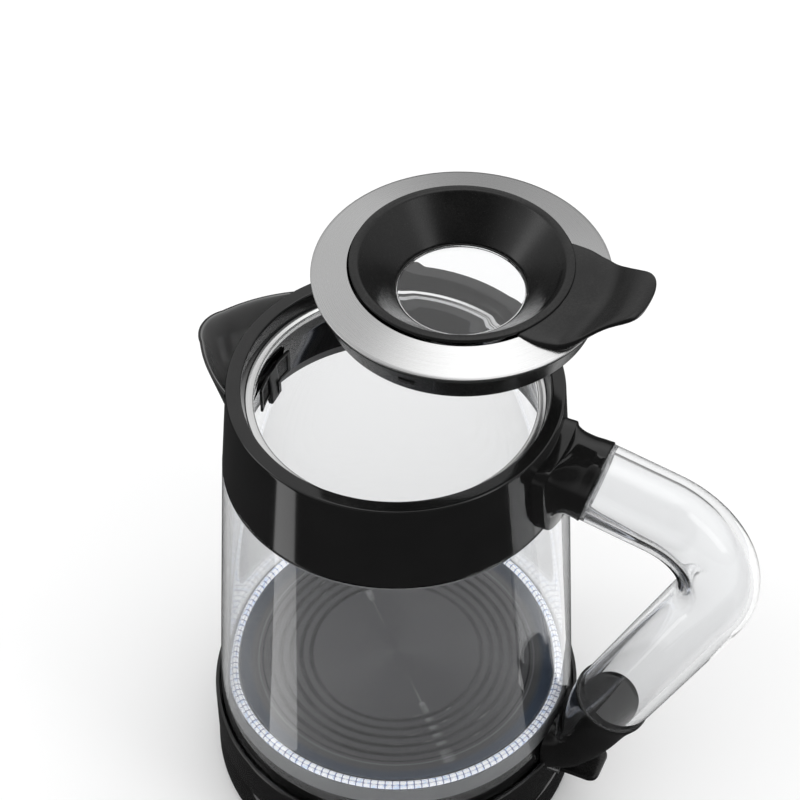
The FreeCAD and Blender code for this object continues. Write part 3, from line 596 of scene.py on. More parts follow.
def collarAndSpout():
    top, low = collar["rimTop"], collar["low"]
    outline = rounded([
        (collar["rimOut"], top, 0.9), (collar["lowOut"], low, 0.6), (67.0, low + 1.4, 0.3),
        (67.0, 197.5, 0.4), (64.8, 197.5, 0.4), (63.6, 225.0, 0.6), (61.6, 225.0, 0.6), (60.8, 218.0, 1.5),
        (60.8, 201.0, 1.5), (62.7, 197.5, 0.4), (62.7, 191.5, 0.3), (60.6, 191.5, 0.4), (58.9, 201.0, 4.0),
        (55.9, 213.5, 3.0), (55.9, 219.0, 0.2), (57.1, 219.0, 0.2), (57.1, 220.8, 0.2), (58.8, 220.8, 0.2),
        (58.8, collar["seat"] + 0.4, 0.25), (collar["rimIn"], top, 0.7)])
    window = np.array([(50.0, collar["windowLow"]), (69.6, collar["windowLow"]),
                       (69.6, collar["windowHigh"]), (50.0, collar["windowHigh"])])
    cutter = turnedPart(window, 180 - collar["windowHalf"], 180 + collar["windowHalf"], 40)
    body = cutAway(meshOf("collarShell", [turned(outline, 360)]), [cutter])
    placePiece("collarShell", body, "jug", ["collar"], materials["glossBlack"])
    beak = placePiece("spoutShell", meshOf("spoutShell", [spoutShell()]), "jug", [], materials["glossBlack"],
                      35)
    # Faces that look, on the level, towards the spout's middle get a paler grey: a painted reflection on the
    # black plastic inside.
    beak.data.materials.append(materials["spoutPaintedReflection"])
    faces = len(beak.data.polygons)
    middles, normals = np.zeros(3 * faces), np.zeros(3 * faces)
    beak.data.polygons.foreach_get("center", middles)
    beak.data.polygons.foreach_get("normal", normals)
    inward = np.array([-spout["middle"] * mm, 0.0, 0.0]) - middles.reshape(-1, 3)
    facesIn = (inward * normals.reshape(-1, 3))[:, :2].sum(1) > 0
    beak.data.polygons.foreach_set("material_index", facesIn.astype(np.int32))


seatRing = {"bore": 55.3, "waist": 56.9, "out": 58.7, "low": 219.1, "step": 220.9, "top": 222.0}


def seatAndSeals():
    s = seatRing
    outline = rounded([
        (s["bore"], s["low"], 0.4), (s["waist"], s["low"], 0.2), (s["waist"], s["step"], 0.2),
        (s["out"], s["step"], 0.2), (s["out"], s["top"] - 0.1, 0.4), (s["waist"] + 0.2, s["top"], 0.5),
        (s["bore"], s["top"] - 0.6, 1.1)])
    placePiece("seatRing", meshOf("seatRing", [turned(outline, 320)]), "jug", ["seat_ring"],
               materials["seatSteel"])
    seal = rounded([
        (62.8, 191.3, 0.1), (60.9, 191.3, 0.4), (61.5, 187.0, 0.6), (63.2, 187.0, 0.6), (63.35, 191.3, 0.1),
        (63.35, 196.1, 0.2), (66.45, 196.1, 0.2), (66.45, 190.0, 0.1), (66.9, 190.0, 0.2), (66.9, 197.4, 0.3),
        (62.8, 197.4, 0.3)])
    placePiece("neckSeal", meshOf("neckSeal", [turned(seal, 240)]), "jug", ["collar_seal"],
               materials["greySilicone"])


handle = {"tubeOut": 16.0, "bore": 12.3, "start": (83.0, 209.6), "slope": 11.5, "lowSlope": 113.0,
          "end": (99.7, 78.0), "bend": 32.0, "grip": 1.3, "socket": 16.7, "gap": 0.12}


def armFrame():
    out = np.array([math.cos(math.radians(handle["slope"])), -math.sin(math.radians(handle["slope"]))])
    down = np.array([math.cos(math.radians(handle["lowSlope"])), -math.sin(math.radians(handle["lowSlope"]))])
    start, end = np.array(handle["start"]), np.array(handle["end"])
    along = np.cross(end - start, down) / np.cross(out, down)
    return start, start + out * along, end, out, down


# The centre line: a straight arm, an arc of the bend's radius, and a straight arm, as (x, z) points with unit
# directions.
def handleLine(overrun):
    start, corner, end, out, down = armFrame()
    turn = math.acos(out @ down)
    tangent = handle["bend"] * math.tan(turn / 2)
    first, last = corner - out * tangent, corner + down * tangent
    centre = first + np.array([out[1], -out[0]]) * handle["bend"]
    a = np.linspace(0, turn, 40)[:, None]
    arcWay = out * np.cos(a) + np.array([out[1], -out[0]]) * np.sin(a)
    arc = centre + handle["bend"] * np.stack([-arcWay[:, 1], arcWay[:, 0]], -1)
    begin = start - out * overrun
    upper = begin + (first - begin) * np.linspace(0, 1, 12, endpoint=False)[:, None]
    lower = last + (end + down * overrun - last) * np.linspace(0, 1, 30)[1:, None]
    line = np.concatenate([upper, arc, lower])
    way = np.concatenate([0 * upper + out, arcWay, 0 * lower + down])
    return line, way


# The tube's wall: rings of the outer radius down the line, with a thin groove near the socket, and rings of
# the bore back up, joined at both ends.
def tubeWall(columns=96):
    line, way = handleLine(handle["grip"])
    ends = 0.5
    marks = line[:1] + way[:1] * np.array([ends, 3.2, 3.4, 3.55, 3.95, 4.1, 4.3])[:, None]
    line = np.concatenate([line[:1], marks, line[1:-1], line[-1:] - way[-1:] * ends, line[-1:]])
    way = np.concatenate([way[:1], 0 * marks + way[:1], way[1:-1], way[-1:], way[-1:]])
    radii = np.full(len(line), handle["tubeOut"])
    bores = np.full(len(line), handle["bore"])
    radii[[0, -1]] -= ends
    radii[[4, 5]] -= 0.3
    bores[[0, -1]] += ends
    line, way = np.concatenate([line, line[::-1]]), np.concatenate([way, way[::-1]])
    radii = np.concatenate([radii, bores[::-1]])[:, None]
    a = np.linspace(0, fullTurn, columns, endpoint=False)
    centres = np.stack([line[:, 0], 0 * line[:, 0], line[:, 1]], -1)
    ups = np.stack([-way[:, 1], 0 * way[:, 0], way[:, 0]], -1)
    sides = np.broadcast_to([0.0, 1.0, 0.0], ups.shape)
    return ringsAlong(centres, sides, ups, radii * np.cos(a), radii * np.sin(a)), True, True


def handleTube():
    placePiece("handleTube", meshOf("handleTube", [tubeWall()]), "jug", ["handle_tube"],
               materials["clearPlastic"])


# The saddle plate follows the collar's cone: rings of a rounded rectangle rise from inside the collar to the
# plate's edge and then shrink towards its middle.
saddle = {"halfWidth": 19.4, "low": 190.2, "high": 222.8, "proud": 5.0, "power": 4.6,
          "shrink": [0.0, 0.0, 0.12, 0.5, 8.0, 14.0], "sink": [6.2, 0.55, 0.18, 0.0, 0.0, 0.0]}


def collarRadius(z):
    share = (z - collar["low"]) / (collar["rimTop"] - collar["low"])
    return collar["lowOut"] + share * (collar["rimOut"] - collar["lowOut"])


def saddlePlate(columns=160):
    s = saddle
    across, tall = superRing(s["power"], columns)
    shrink = np.array(s["shrink"])
    halfTall = (s["high"] - s["low"]) / 2
    y = across * (s["halfWidth"] - shrink)[:, None]
    z = (s["high"] + s["low"]) / 2 + tall * (halfTall - shrink)[:, None]
    radius = collarRadius(z) + s["proud"] - np.array(s["sink"])[:, None]
    return capped(np.stack([np.sqrt(radius ** 2 - y ** 2), y, z], -1))


upperHorn = {
    "places": [0.0, 3.0, 6.0, 8.0, 9.5, 10.8, 12.3], "power": [2, 2, 2.1, 2.5, 3.1, 3.8, 4.6],
    "halfWidth": [16.5, 16.3, 16.3, 16.7, 17.4, 18.3, 19.2],
    "halfTall": [16.5, 16.3, 16.0, 15.9, 15.9, 16.0, 16.2],
    "fall": [0.0, 0.2, 0.9, 2.0, 3.2, 4.3, 5.5], "bendFrom": 3.5, "rows": 44}


# The socket horn: a lip of four rings round the tube's end, then rings along the arm whose half sizes follow
# a smooth curve.
def socketHorn(look, centreOf, sideOf, upOf, columns=120):
    places = np.linspace(look["places"][0], look["places"][-1], look["rows"])
    across = smoothThrough(look["places"], look["halfWidth"], places)
    tall = smoothThrough(look["places"], look["halfTall"], places)
    power = smoothThrough(look["places"], look["power"], places)[:, 0]
    lipPlaces = np.array([0.0, -handle["grip"], -handle["grip"] - 0.05, -handle["grip"] + 0.35])
    lipSizes = np.array([handle["tubeOut"] + handle["gap"]] * 2 + [handle["socket"] - 0.3, handle["socket"]])
    places = np.concatenate([lipPlaces, places])
    across = np.concatenate([lipSizes, across[:, 0]])[:, None]
    tall = np.concatenate([lipSizes, tall[:, 0]])[:, None]
    c, s = superRing(np.concatenate([[2] * 4, power]), columns)
    return capped(ringsAlong(centreOf(places), sideOf(places), upOf(places), c * across, s * tall))


def upperSocket():
    start, _, _, out, _ = armFrame()

    def centreOf(s):
        fall = smoothThrough(upperHorn["places"], upperHorn["fall"], np.maximum(s, 0))[:, 0]
        return np.stack([start[0] - out[0] * s, 0 * s, start[1] - out[1] * s - fall], -1)

    def sideOf(s):
        return np.stack([0 * s, 0 * s + 1, 0 * s], -1)

    def upOf(s):
        return np.stack([0 * s - out[1], 0 * s, 0 * s + out[0]], -1)

    # The horn's last rings bend onto the plate: x moves by a smooth share from its ring to the plate's face.
    # The closing row and the lip's four rings in front stay, and the closing row at the end moves fully.
    grid, wrapRows, wrapColumns = socketHorn(upperHorn, centreOf, sideOf, upOf)
    place = np.linspace(0, upperHorn["places"][-1], upperHorn["rows"])
    share = np.clip((place - upperHorn["bendFrom"]) / (place[-1] - upperHorn["bendFrom"]), 0, 1)
    share = np.concatenate([np.zeros(5), share * share * (3 - 2 * share), [1.0]])[:, None]
    face = np.sqrt((collarRadius(grid[..., 2]) + saddle["proud"] - 0.3) ** 2 - grid[..., 1] ** 2)
    grid[..., 0] += share * (face - grid[..., 0])
    shells = [(grid, wrapRows, wrapColumns), saddlePlate()]
    placePiece("upperSocket", meshOf("upperSocket", shells), "jug", ["upper_socket"],
               materials["glossBlack"], 28)


# The boot's sections from the handle's end to the band. A centre and an up direction are (x, z). The cut's
# numbers are the clearance from the glass and how far the cut reaches below and above the glass's foot.
boot = {"places": [0.0, 9.0, 22.0, 36.0, 48.0], "rows": 60, "clearance": 0.4, "below": 12, "above": 62,
        "halfWidth": [16.7, 15.3, 15.6, 16.5, 18.5],
        "halfTall": [16.7, 15.3, 14.0, 13.2, 13.0], "power": [2, 2, 2.2, 2.7, 3.4],
        "centres": [(99.7, 78.0), (96.2, 69.8), (91.9, 58.9), (85.6, 48.3), (75.0, 44.3)],
        "ups": [(0.92, -0.39), (0.92, -0.39), (0.82, -0.57), (0.45, -0.89), (0.0, -1.0)]}


def lowerSocket():
    down = armFrame()[-1]

    def along(s, values):
        line = smoothThrough(boot["places"], values, np.maximum(s, 0))
        return np.stack([line[:, 0], 0 * s, line[:, 1]], -1)

    def centreOf(s):
        lead = np.minimum(s, 0)[:, None] * np.array([down[0], 0, down[1]])
        return along(s, boot["centres"]) + lead

    def sideOf(s):
        return np.stack([0 * s, 0 * s + 1, 0 * s], -1)

    def upOf(s):
        up = along(s, boot["ups"])
        return up / np.linalg.norm(up, axis=1, keepdims=True)

    horn = meshOf("lowerSocket", [socketHorn(boot, centreOf, sideOf, upOf)])
    glassLow, glassHigh = spanOf("glass_jug")
    lean = (jug["topOut"] - glassHigh[0]) / (glassHigh[2] - jug["neck"] - glassLow[2])
    wallLow = glassHigh[0] + boot["clearance"] - boot["below"] * lean
    wallHigh = glassHigh[0] + boot["clearance"] + boot["above"] * lean
    low, high = glassLow[2] - boot["below"], glassLow[2] + boot["above"]
    wall = turned(rounded([(0, low, 0), (wallLow, low, 0), (wallHigh, high, 0), (0, high, 0)], 1), 240)
    placePiece("lowerSocket", cutAway(horn, [wall]), "jug", ["lower_socket"],
               materials["glossBlack"], 32)


heater = {"rings": (37.4, 41.8, 46.2, 50.6, 55.0), "ringHalf": 1.3, "ringRise": 0.55,
          "out": 68.8, "top": 60.0, "low": 50.2, "thick": 1.2, "dishFrom": 63.0, "dishRise": 1.6}


# The plate's top: a flat with raised rings, each a raised cosine of the distance from the ring's radius, and
# an edge that rises by a smooth step of the radius.
def heaterPlate():
    h = heater
    r = np.concatenate([[0.0], np.linspace(30.0, 62.5, 260), np.linspace(h["dishFrom"], h["out"], 24)])
    rise = 0 * r
    for middle in h["rings"]:
        off = np.clip(np.abs(r - middle) / h["ringHalf"], 0, 1)
        rise += h["ringRise"] * (0.5 + 0.5 * np.cos(math.pi * off))
    dish = np.clip((r - h["dishFrom"]) / (h["out"] - h["dishFrom"]), 0, 1)
    top = np.stack([r, h["top"] + rise + h["dishRise"] * dish * dish * (3 - 2 * dish)], -1)
    inside, under = h["out"] - h["thick"], h["top"] - h["thick"]
    skirt = [(h["out"], h["low"]), (inside, h["low"]), (inside, under), (0.0, under)]
    outline = np.concatenate([top, np.array(skirt)])
    placePiece("heaterPlate", meshOf("heaterPlate", [turned(outline, 200)]), "jug", ["heater_plate"],
               materials["heaterSteel"])


lightRing = {"inner": 69.5, "outer": 73.0, "teeth": 150, "depth": 0.8, "low": 52.2, "top": 62.2,
             "columns": 900}


# The light guide is turned, and its outer and upper faces are cut into teeth: a triangle wave of the angle
# that shifts by half a tooth from one row to the next, which leaves diamonds.
def lightGuide():
    g = lightRing
    outline = np.array([
        (g["outer"], g["low"]), (g["outer"], 59.6), (g["outer"], 60.5), (g["outer"], 61.3), (72.4, 61.9),
        (71.7, g["top"]), (71.0, g["top"] - 0.05), (70.3, g["top"]), (g["inner"], 61.4),
        (g["inner"], g["low"])])
    grid, wrapRows, wrapColumns = turned(outline, g["columns"])
    a = np.linspace(0, fullTurn, g["columns"], endpoint=False)
    cell = a * g["teeth"] / fullTurn
    wave = np.abs((cell % 1.0) - 0.5) * 2
    shifted = np.abs(((cell + 0.5) % 1.0) - 0.5) * 2
    cutBy = np.array([0, 0, 1, 1, 1, 0.5, 0, 0.4, 0, 0])[:, None] * g["depth"]
    depth = cutBy * np.where((np.arange(len(outline)) % 2 == 0)[:, None], wave, shifted)
    grid[..., 0] -= depth * np.cos(a)
    grid[..., 1] -= depth * np.sin(a)
    grid[..., 2] -= depth * 0.6
    placePiece("lightGuide", meshOf("lightGuide", [(grid, wrapRows, wrapColumns)]), "jug", ["led_ring"],
               materials["lightGuide"], 12)


def turnedPieces():
    # name, body, CAD node, material, slot, corners of (radius, height, rounding)
    rows = [
        ("plateSeal", "jug", "plate_seal", "silicone", "silicone",
         [(69.4, 50.2, 0.1), (69.4, 61.0, 0.2), (68.9, 61.0, 0.2), (68.9, 50.2, 0.1)]),
        ("turningRing", "turn", "turning_ring", "satinBlack", "satin_black",
         [(24.4, 18.5, 0.3), (31.8, 18.5, 0.3), (31.8, 21.4, 0.7), (24.4, 21.4, 0.5)]),
        ("footRing", "power_base", "base_foot_ring", "blackRubber", "black_rubber",
         [(63.0, 0.0, 0.6), (70.0, 0.0, 0.6), (70.0, 2.2, 0.1), (63.0, 2.2, 0.1)]),
        ("baseTower", "power_base", "base_connector", "satinBlack", "satin_black",
         [(0.0, 12.6, 0), (24.0, 12.6, 0.2), (24.0, 15.7, 0.2), (15.8, 15.7, 0.4), (15.8, 30.0, 0.9),
          (12.6, 30.0, 0.4), (12.6, 19.0, 0.2), (8.4, 19.0, 0.2), (8.4, 30.0, 0.5), (4.6, 30.0, 0.5),
          (4.6, 19.0, 0.2), (0.0, 19.0, 0)]),
        ("jugSocket", "jug", "jug_connector", "satinBlack", "satin_black",
         [(16.4, 22.0, 0.5), (24.0, 22.0, 0.6), (24.0, 26.5, 0.2), (28.0, 26.5, 0.4), (28.0, 28.5, 0.4),
          (24.0, 28.5, 0.2), (24.0, 36.0, 0.5), (4.0, 36.0, 0.3), (4.0, 33.0, 0.3), (16.4, 33.0, 0.3)])]
    for name, body, node, material, slot, corners in rows:
        mesh = meshOf(name, [turned(rounded(corners), 240)])
        placePiece(name, mesh, body, [node], materials[material])


band = {"out": 80.3, "low": 20.3, "top": 42.0, "slotHalf": 9.5, "slotLow": 21.4, "slotHigh": 31.0}


def baseBand():
    b = band
    outline = rounded([
        (b["out"], b["low"] + 1.4, 1.2), (b["out"], b["top"], 0.9), (78.5, b["top"], 0.4), (78.5, 38.2, 0.2),
        (73.4, 38.2, 0.2), (73.4, 50.0, 0.3), (69.3, 50.0, 0.3), (69.3, 47.4, 0.3), (71.2, 47.4, 0.3),
        (71.2, 36.0, 0.5), (78.0, 35.0, 0.5), (78.0, 24.6, 0.4), (73.5, 23.6, 0.4), (73.5, b["low"], 0.3),
        (b["out"] - 1.0, b["low"], 0.8)])
    slot = box((70.0, -b["slotHalf"], b["slotLow"]), (86.0, b["slotHalf"], b["slotHigh"]))
    mesh = cutAway(meshOf("baseBand", [turned(outline, 360)]), [slot])
    placePiece("baseBand", mesh, "jug", ["base_band"], materials["glossBlack"])


shellLook = {"out": 80.5, "deck": 20.0, "low": 3.4, "inletRadius": 5.2, "inletHeight": 9.5}


def powerBase():
    s = shellLook
    outline = rounded([
        (s["out"], s["low"], 0.6), (s["out"], 8.0, 4.0), (s["out"] - 1.2, 17.4, 2.4),
        (s["out"] - 3.4, s["deck"], 1.8), (32.4, s["deck"], 0.6), (32.4, 18.2, 0.3), (20.2, 18.2, 0.3),
        (20.2, 15.8, 0.3), (34.6, 15.8, 0.3), (34.6, 17.6, 0.3), (s["out"] - 4.2, 17.6, 0.4),
        (s["out"] - 3.2, 16.4, 0.6), (s["out"] - 2.2, 7.6, 1.0), (s["out"] - 2.2, s["low"], 0.3)])
    a = np.linspace(0, fullTurn, 48, endpoint=False)
    x, z = s["inletRadius"] * np.cos(a), s["inletHeight"] + s["inletRadius"] * np.sin(a)
    hole = np.stack([np.stack([x, 0 * a + y, z], -1) for y in (70.0, 90.0)])
    mesh = cutAway(meshOf("powerBase", [turned(outline, 360)]), [capped(hole)])
    placePiece("powerBase", mesh, "power_base", ["power_base_shell"], materials["glossBlack"])


# The inlet grommet: a turned shape laid along Y, with a flange outside and a short flared mouth.
def cordInlet():
    outline = rounded([(3.7, 73.0, 0.3), (5.1, 73.0, 0.3), (5.1, 81.4, 0.2), (7.0, 81.4, 0.6),
                       (7.0, 84.4, 1.2), (3.7, 84.4, 0.9)])
    grid, wrapRows, wrapColumns = turned(outline, 96)
    laid = np.stack([grid[..., 0], grid[..., 2], shellLook["inletHeight"] + grid[..., 1]], -1)
    placePiece("cordInlet", meshOf("cordInlet", [(laid, wrapRows, wrapColumns)]), "power_base",
               ["cord_inlet"], materials["blackRubber"])


paddle = {"pinX": 75.0, "pinZ": 27.0, "root": 77.0, "tip": 99.0, "halfWidth": 9.0, "thick": 3.4, "round": 5.0,
          "dish": 0.9, "dishMiddle": 90.0, "dishLong": 7.5, "dishWide": 8.0}


# The paddle: rings across its length whose half width closes as a superellipse at the tip, with a dished top.
def switchPaddle():
    p = paddle
    x = p["tip"] - (p["tip"] - p["root"]) * (1 - np.cos(np.linspace(0, math.pi / 2, 36)))[:, None]
    near = np.clip((x - (p["tip"] - p["round"])) / p["round"], 0, 0.9999)
    half = p["halfWidth"] * (1 - 0.45 * (1 - np.sqrt(1 - near ** 2.4)))
    across, tall = superRing(4.5, 72)
    y = across * half
    off = ((x - p["dishMiddle"]) / p["dishLong"]) ** 2 + (y / p["dishWide"]) ** 2
    dished = 1 - np.clip(off, 0, 1)
    thick = p["thick"] / 2 * np.sqrt(np.clip(1 - near ** 6, 0.05, 1))
    z = p["pinZ"] + tall * thick - np.where(tall > 0, p["dish"] * dished ** 2, 0)
    blade = capped(np.stack([x + 0 * y, y, z], -1))
    a = np.linspace(0, fullTurn, 48, endpoint=False)
    hub = rounded([(1.55, -p["halfWidth"], 0.2), (3.4, -p["halfWidth"], 0.4), (3.4, p["halfWidth"], 0.4),
                   (1.55, p["halfWidth"], 0.2)])
    r, s = hub[:, :1], hub[:, 1:]
    barrel = np.stack([p["pinX"] + r * np.cos(a), s + 0 * a, p["pinZ"] + r * np.sin(a)], -1), True, True
    placePiece("switchPaddle", meshOf("switchPaddle", [blade, barrel]), "switch", ["switch_paddle"],
               materials["satinBlack"])


weave = {"radius": 54.4, "halfAngle": 12.8, "low": 201.9, "top": 212.0, "pitch": 0.95, "wire": 0.13}


# The filter's frame: two level bars and two upright ones on the mesh's cylinder, and a finger hook whose
# sections narrow towards its foot, with a rib on its face.
filterLook = {"inner": 53.7, "outer": 54.8, "halfAngle": 13.4, "low": 201.2, "top": 213.0, "bar": 1.5,
              "postHalf": 0.8, "ribLow": (-52.6, 1.2, 198.6), "ribHigh": (-51.9, 3.2, 205.4),
              "hookZ": [213.0, 208.0, 202.5, 198.5, 196.6, 195.8],
              "hookFace": [53.4, 52.9, 52.4, 52.3, 52.7, 53.6],
              "hookBack": [54.9, 54.9, 54.9, 54.9, 54.8, 54.4],
              "hookHalf": [3.4, 3.5, 3.8, 3.9, 3.4, 2.2]}


def filterFrame():
    f = filterLook
    shells = []
    for low in (f["low"], f["top"] - f["bar"]):
        bar = rounded([(f["inner"], low, 0.3), (f["outer"], low, 0.3), (f["outer"], low + f["bar"], 0.3),
                       (f["inner"], low + f["bar"], 0.3)], 2)
        shells.append(turnedPart(bar, 180 - f["halfAngle"], 180 + f["halfAngle"], 40))
    post = rounded([(f["inner"], f["low"], 0.3), (f["outer"], f["low"], 0.3), (f["outer"], f["top"], 0.3),
                    (f["inner"], f["top"], 0.3)], 2)
    for side in (-1, 1):
        middle = 180 + side * (f["halfAngle"] - f["postHalf"])
        shells.append(turnedPart(post, middle - f["postHalf"], middle + f["postHalf"], 4))
    c, s = superRing(6.0, 48)
    face, back, half = (np.array(f[key])[:, None] for key in ("hookFace", "hookBack", "hookHalf"))
    z = np.array(f["hookZ"])[:, None]
    shells.append(capped(np.stack([-(face + back) / 2 + c * (back - face) / 2, s * half, z + 0 * c], -1)))
    shells.append(box(f["ribLow"], f["ribHigh"]))
    placePiece("filterFrame", meshOf("filterFrame", shells), "filter", ["filter_frame"],
               materials["dullBlack"], 30)


# Woven wire: upright wires sway in and out as a cosine of the height, and level wires of the angle, in step.
def filterMesh():
    m = weave
    shells = []
    a = np.linspace(0, fullTurn, 6, endpoint=False)
    half = math.radians(m["halfAngle"])
    across = int(2 * half * m["radius"] / m["pitch"])
    upwards = int((m["top"] - m["low"]) / m["pitch"])
    angles = math.pi + np.linspace(-half, half, across)
    levels = np.linspace(m["low"], m["top"], upwards)
    for k, angle in enumerate(angles):
        z = np.linspace(m["low"], m["top"], 2 * upwards - 1)
        r = m["radius"] + m["wire"] * np.cos(math.pi * (np.arange(len(z)) / 2.0 + k))
        ring = r[:, None] + m["wire"] * np.cos(a)
        shift = m["wire"] * np.sin(a)
        x = ring * math.cos(angle) - shift * math.sin(angle)
        y = ring * math.sin(angle) + shift * math.cos(angle)
        shells.append(capped(np.stack([x, y, z[:, None] + 0 * ring], -1)))
    for k, level in enumerate(levels):
        t = math.pi + np.linspace(-half, half, 2 * across - 1)
        r = m["radius"] - m["wire"] * np.cos(math.pi * (np.arange(len(t)) / 2.0 + k))
        ring = r[:, None] + m["wire"] * np.cos(a)
        height = level + m["wire"] * np.sin(a) + 0 * ring
        shells.append(capped(np.stack([ring * np.cos(t)[:, None], ring * np.sin(t)[:, None], height], -1)))
    # The mesh is near black: painted shade for the filter in the collar's shadow.
    placePiece("filterMesh", meshOf("filterMesh", shells), "filter", ["filter_mesh"], materials["meshPaintedShade"],
               60)


# Heights on the lid are from its flange, and a lug's place is an angle round the lid.
lid = {"flange": 56.2, "ringIn": 40.4, "lip": 42.0, "lipTop": 5.0, "window": 25.0, "windowDrop": 11.0,
       "skirtTop": 54.5, "skirtLow": 50.4, "skirtDrop": 14.4, "lugs": (31.0, 151.0, 271.0), "lugHalf": 3.4}


def lidPiece(name, corners, node, material, columns=320, extra=()):
    shells = [turned(rounded(corners), columns, lidCentre)] + list(extra)
    return placePiece(name, meshOf(name, shells), "lid", [node], materials[material])


def lidRing():
    f, rise = lid["flange"], lid["lipTop"] - 0.6
    corners = [
        (f - 0.5, -1.0, 0.35), (f, -0.6, 0.3), (f, -0.1, 0.3), (f - 0.9, 0.28, 0.5),
        (lid["lip"] + 0.55, rise - 0.6, 0.45), (lid["lip"] + 0.55, rise - 1.5, 0.2), (54.0, -0.5, 0.2),
        (54.0, -1.0, 0.1)]
    lidPiece("lidSteelRing", corners, "lid_steel_ring", "lidSteel", 360)


def lidUnderside():
    s = lid
    inner, drop = s["window"] + 2.4, s["windowDrop"]
    lugOutline = rounded([(49.0, -9.6, 0.1), (52.9, -9.6, 0.3), (53.4, -7.2, 0.3), (49.0, -7.2, 0.1)], 2)
    lugs = [turnedPart(lugOutline, a - s["lugHalf"], a + s["lugHalf"], 10, lidCentre) for a in s["lugs"]]
    skirt = [
        (s["skirtTop"], -2.2, 0.3), (s["skirtLow"] + 0.4, -s["skirtDrop"], 1.2),
        (inner, -s["skirtDrop"], 0.4), (inner, -s["skirtDrop"] + 2.0, 0.4),
        (s["skirtLow"] - 2.2, -s["skirtDrop"] + 2.0, 1.0), (51.0, -4.2, 0.6), (46.0, -4.2, 0.3),
        (46.0, -2.2, 0.2)]
    lidPiece("lidSkirt", skirt, "lid_skirt", "satinBlack", extra=lugs)
    gasket = [(54.3, -2.15, 0.2), (55.7, -2.15, 0.3), (55.9, -1.05, 0.2), (54.3, -1.05, 0.2)]
    lidPiece("lidGasket", gasket, "lid_gasket", "blackRubber")
    window = [
        (0.0, -drop - 0.4, 0), (24.3, -drop - 0.4, 0.3), (24.3, -drop + 1.7, 0.5), (20.0, -drop + 1.9, 2.0),
        (0.0, -drop + 1.9, 0)]
    lidPiece("lidWindow", window, "lid_window", "clearPlastic", 200)
    seal = [
        (24.95, -drop - 0.4, 0.1), (24.95, -drop + 1.9, 0.2), (24.4, -drop + 1.9, 0.2),
        (24.4, -drop - 0.4, 0.1)]
    lidPiece("windowSeal", seal, "window_seal", "blackRubber", 200)


gripTab = {"inner": 30.0, "lipAt": 42.3, "reach": 73.2, "tipRound": 8.0,
           "widthAt": [25, 45, 49, 53, 57, 61, 65, 69, 75],
           "width": [26.2, 26.0, 24.6, 22.0, 19.2, 16.8, 15.0, 13.8, 13.2],
           "topAt": [30, 42, 48, 53, 57, 61, 65, 69, 80],
           "top": [5.6, 5.1, 4.6, 4.5, 6.2, 9.6, 12.6, 14.6, 15.2],
           "underAt": [30, 48, 56.2, 58.0, 60.0, 63.0, 66.5, 70, 80],
           "under": [3.2, 1.3, 0.2, 2.2, 4.8, 7.6, 9.8, 11.4, 12.2]}


# The grip tab: rings across the reach. The half width follows a smooth curve and closes as a superellipse at
# the tip, and the top and underside are heights over the distance from the lid's axis, eased together at the
# edges.
def tabShell(columns=96, rows=90):
    g = gripTab
    share = 1 - np.cos(np.linspace(0.0, math.pi / 2, rows))
    x = (g["reach"] - (g["reach"] - g["inner"]) * share)[:, None]
    half = smoothThrough(g["widthAt"], g["width"], x[:, 0])
    near = np.clip((x - (g["reach"] - g["tipRound"])) / g["tipRound"], 0, 0.99995)
    half = half * (1 - near ** 2.7) ** (1 / 2.7)
    across, tall = superRing(4.2, columns)
    y = across * half
    x = np.maximum(x, np.sqrt(np.clip(g["lipAt"] ** 2 - y ** 2, 0, None)))
    r = np.sqrt(x ** 2 + y ** 2)
    top = smoothThrough(g["topAt"], g["top"], r.ravel()).reshape(r.shape)
    under = smoothThrough(g["underAt"], g["under"], r.ravel()).reshape(r.shape)
    z = (top + under) / 2 + (top - under) / 2 * tall * (1 - 0.75 * near ** 9)
    return capped(np.stack([lidCentre[0] + x, lidCentre[1] + y, lidCentre[2] + z], -1))


def lidFunnel():
    lip, top, w, drop = lid["lip"], lid["lipTop"], lid["window"], lid["windowDrop"]
    corners = [
        (lid["ringIn"], top - 1.6, 0.2), (lid["ringIn"], top - 0.5, 0.1), (lip - 0.1, top - 0.7, 0.15),
        (lip - 0.1, top + 0.6, 0.8), (lip - 2.9, top + 0.9, 1.1), (w, -drop + 2.4, 0.6),
        (w, -drop - 0.4, 0.3), (w + 2.2, -drop - 0.4, 0.3), (w + 2.2, -drop + 1.4, 0.3),
        (lip - 3.6, top - 4.6, 0.8)]
    lidPiece("lidFunnel", corners, "lid_funnel", "satinBlack")
    placePiece("gripTab", meshOf("gripTab", [tabShell()]), "lid", [], materials["satinBlack"],
               50)


for make in (glassJug, collarAndSpout, seatAndSeals, handleTube, upperSocket, lowerSocket, heaterPlate,
             lightGuide, turnedPieces, baseBand, powerBase, cordInlet, switchPaddle, filterFrame, filterMesh,
             lidRing, lidUnderside, lidFunnel):
    make()
print("pieces ready")


# Materials for the CAD nodes that stay as they are.
kept = {
    "satinBlack": ["bottom_cover", "base_plate"],
    "silicone": ["glass_seal"],
    "circuitBoard": ["led_board"],
    "fastenerSteel": ["socket_screws", "cover_screws", "switch_pin", "switch_bracket", "lid_screws",
                      "base_screws"],
    "aluminium": ["heat_spreader", "heating_element"],
    "greyPlastic": ["thermostat_control"],
    "contactBrass": ["base_contacts"],
}
for name, nodes in kept.items():
    for node in nodes:
        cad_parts[node].data.materials.clear()
        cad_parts[node].data.materials.append(materials[name])
print("kept nodes painted")


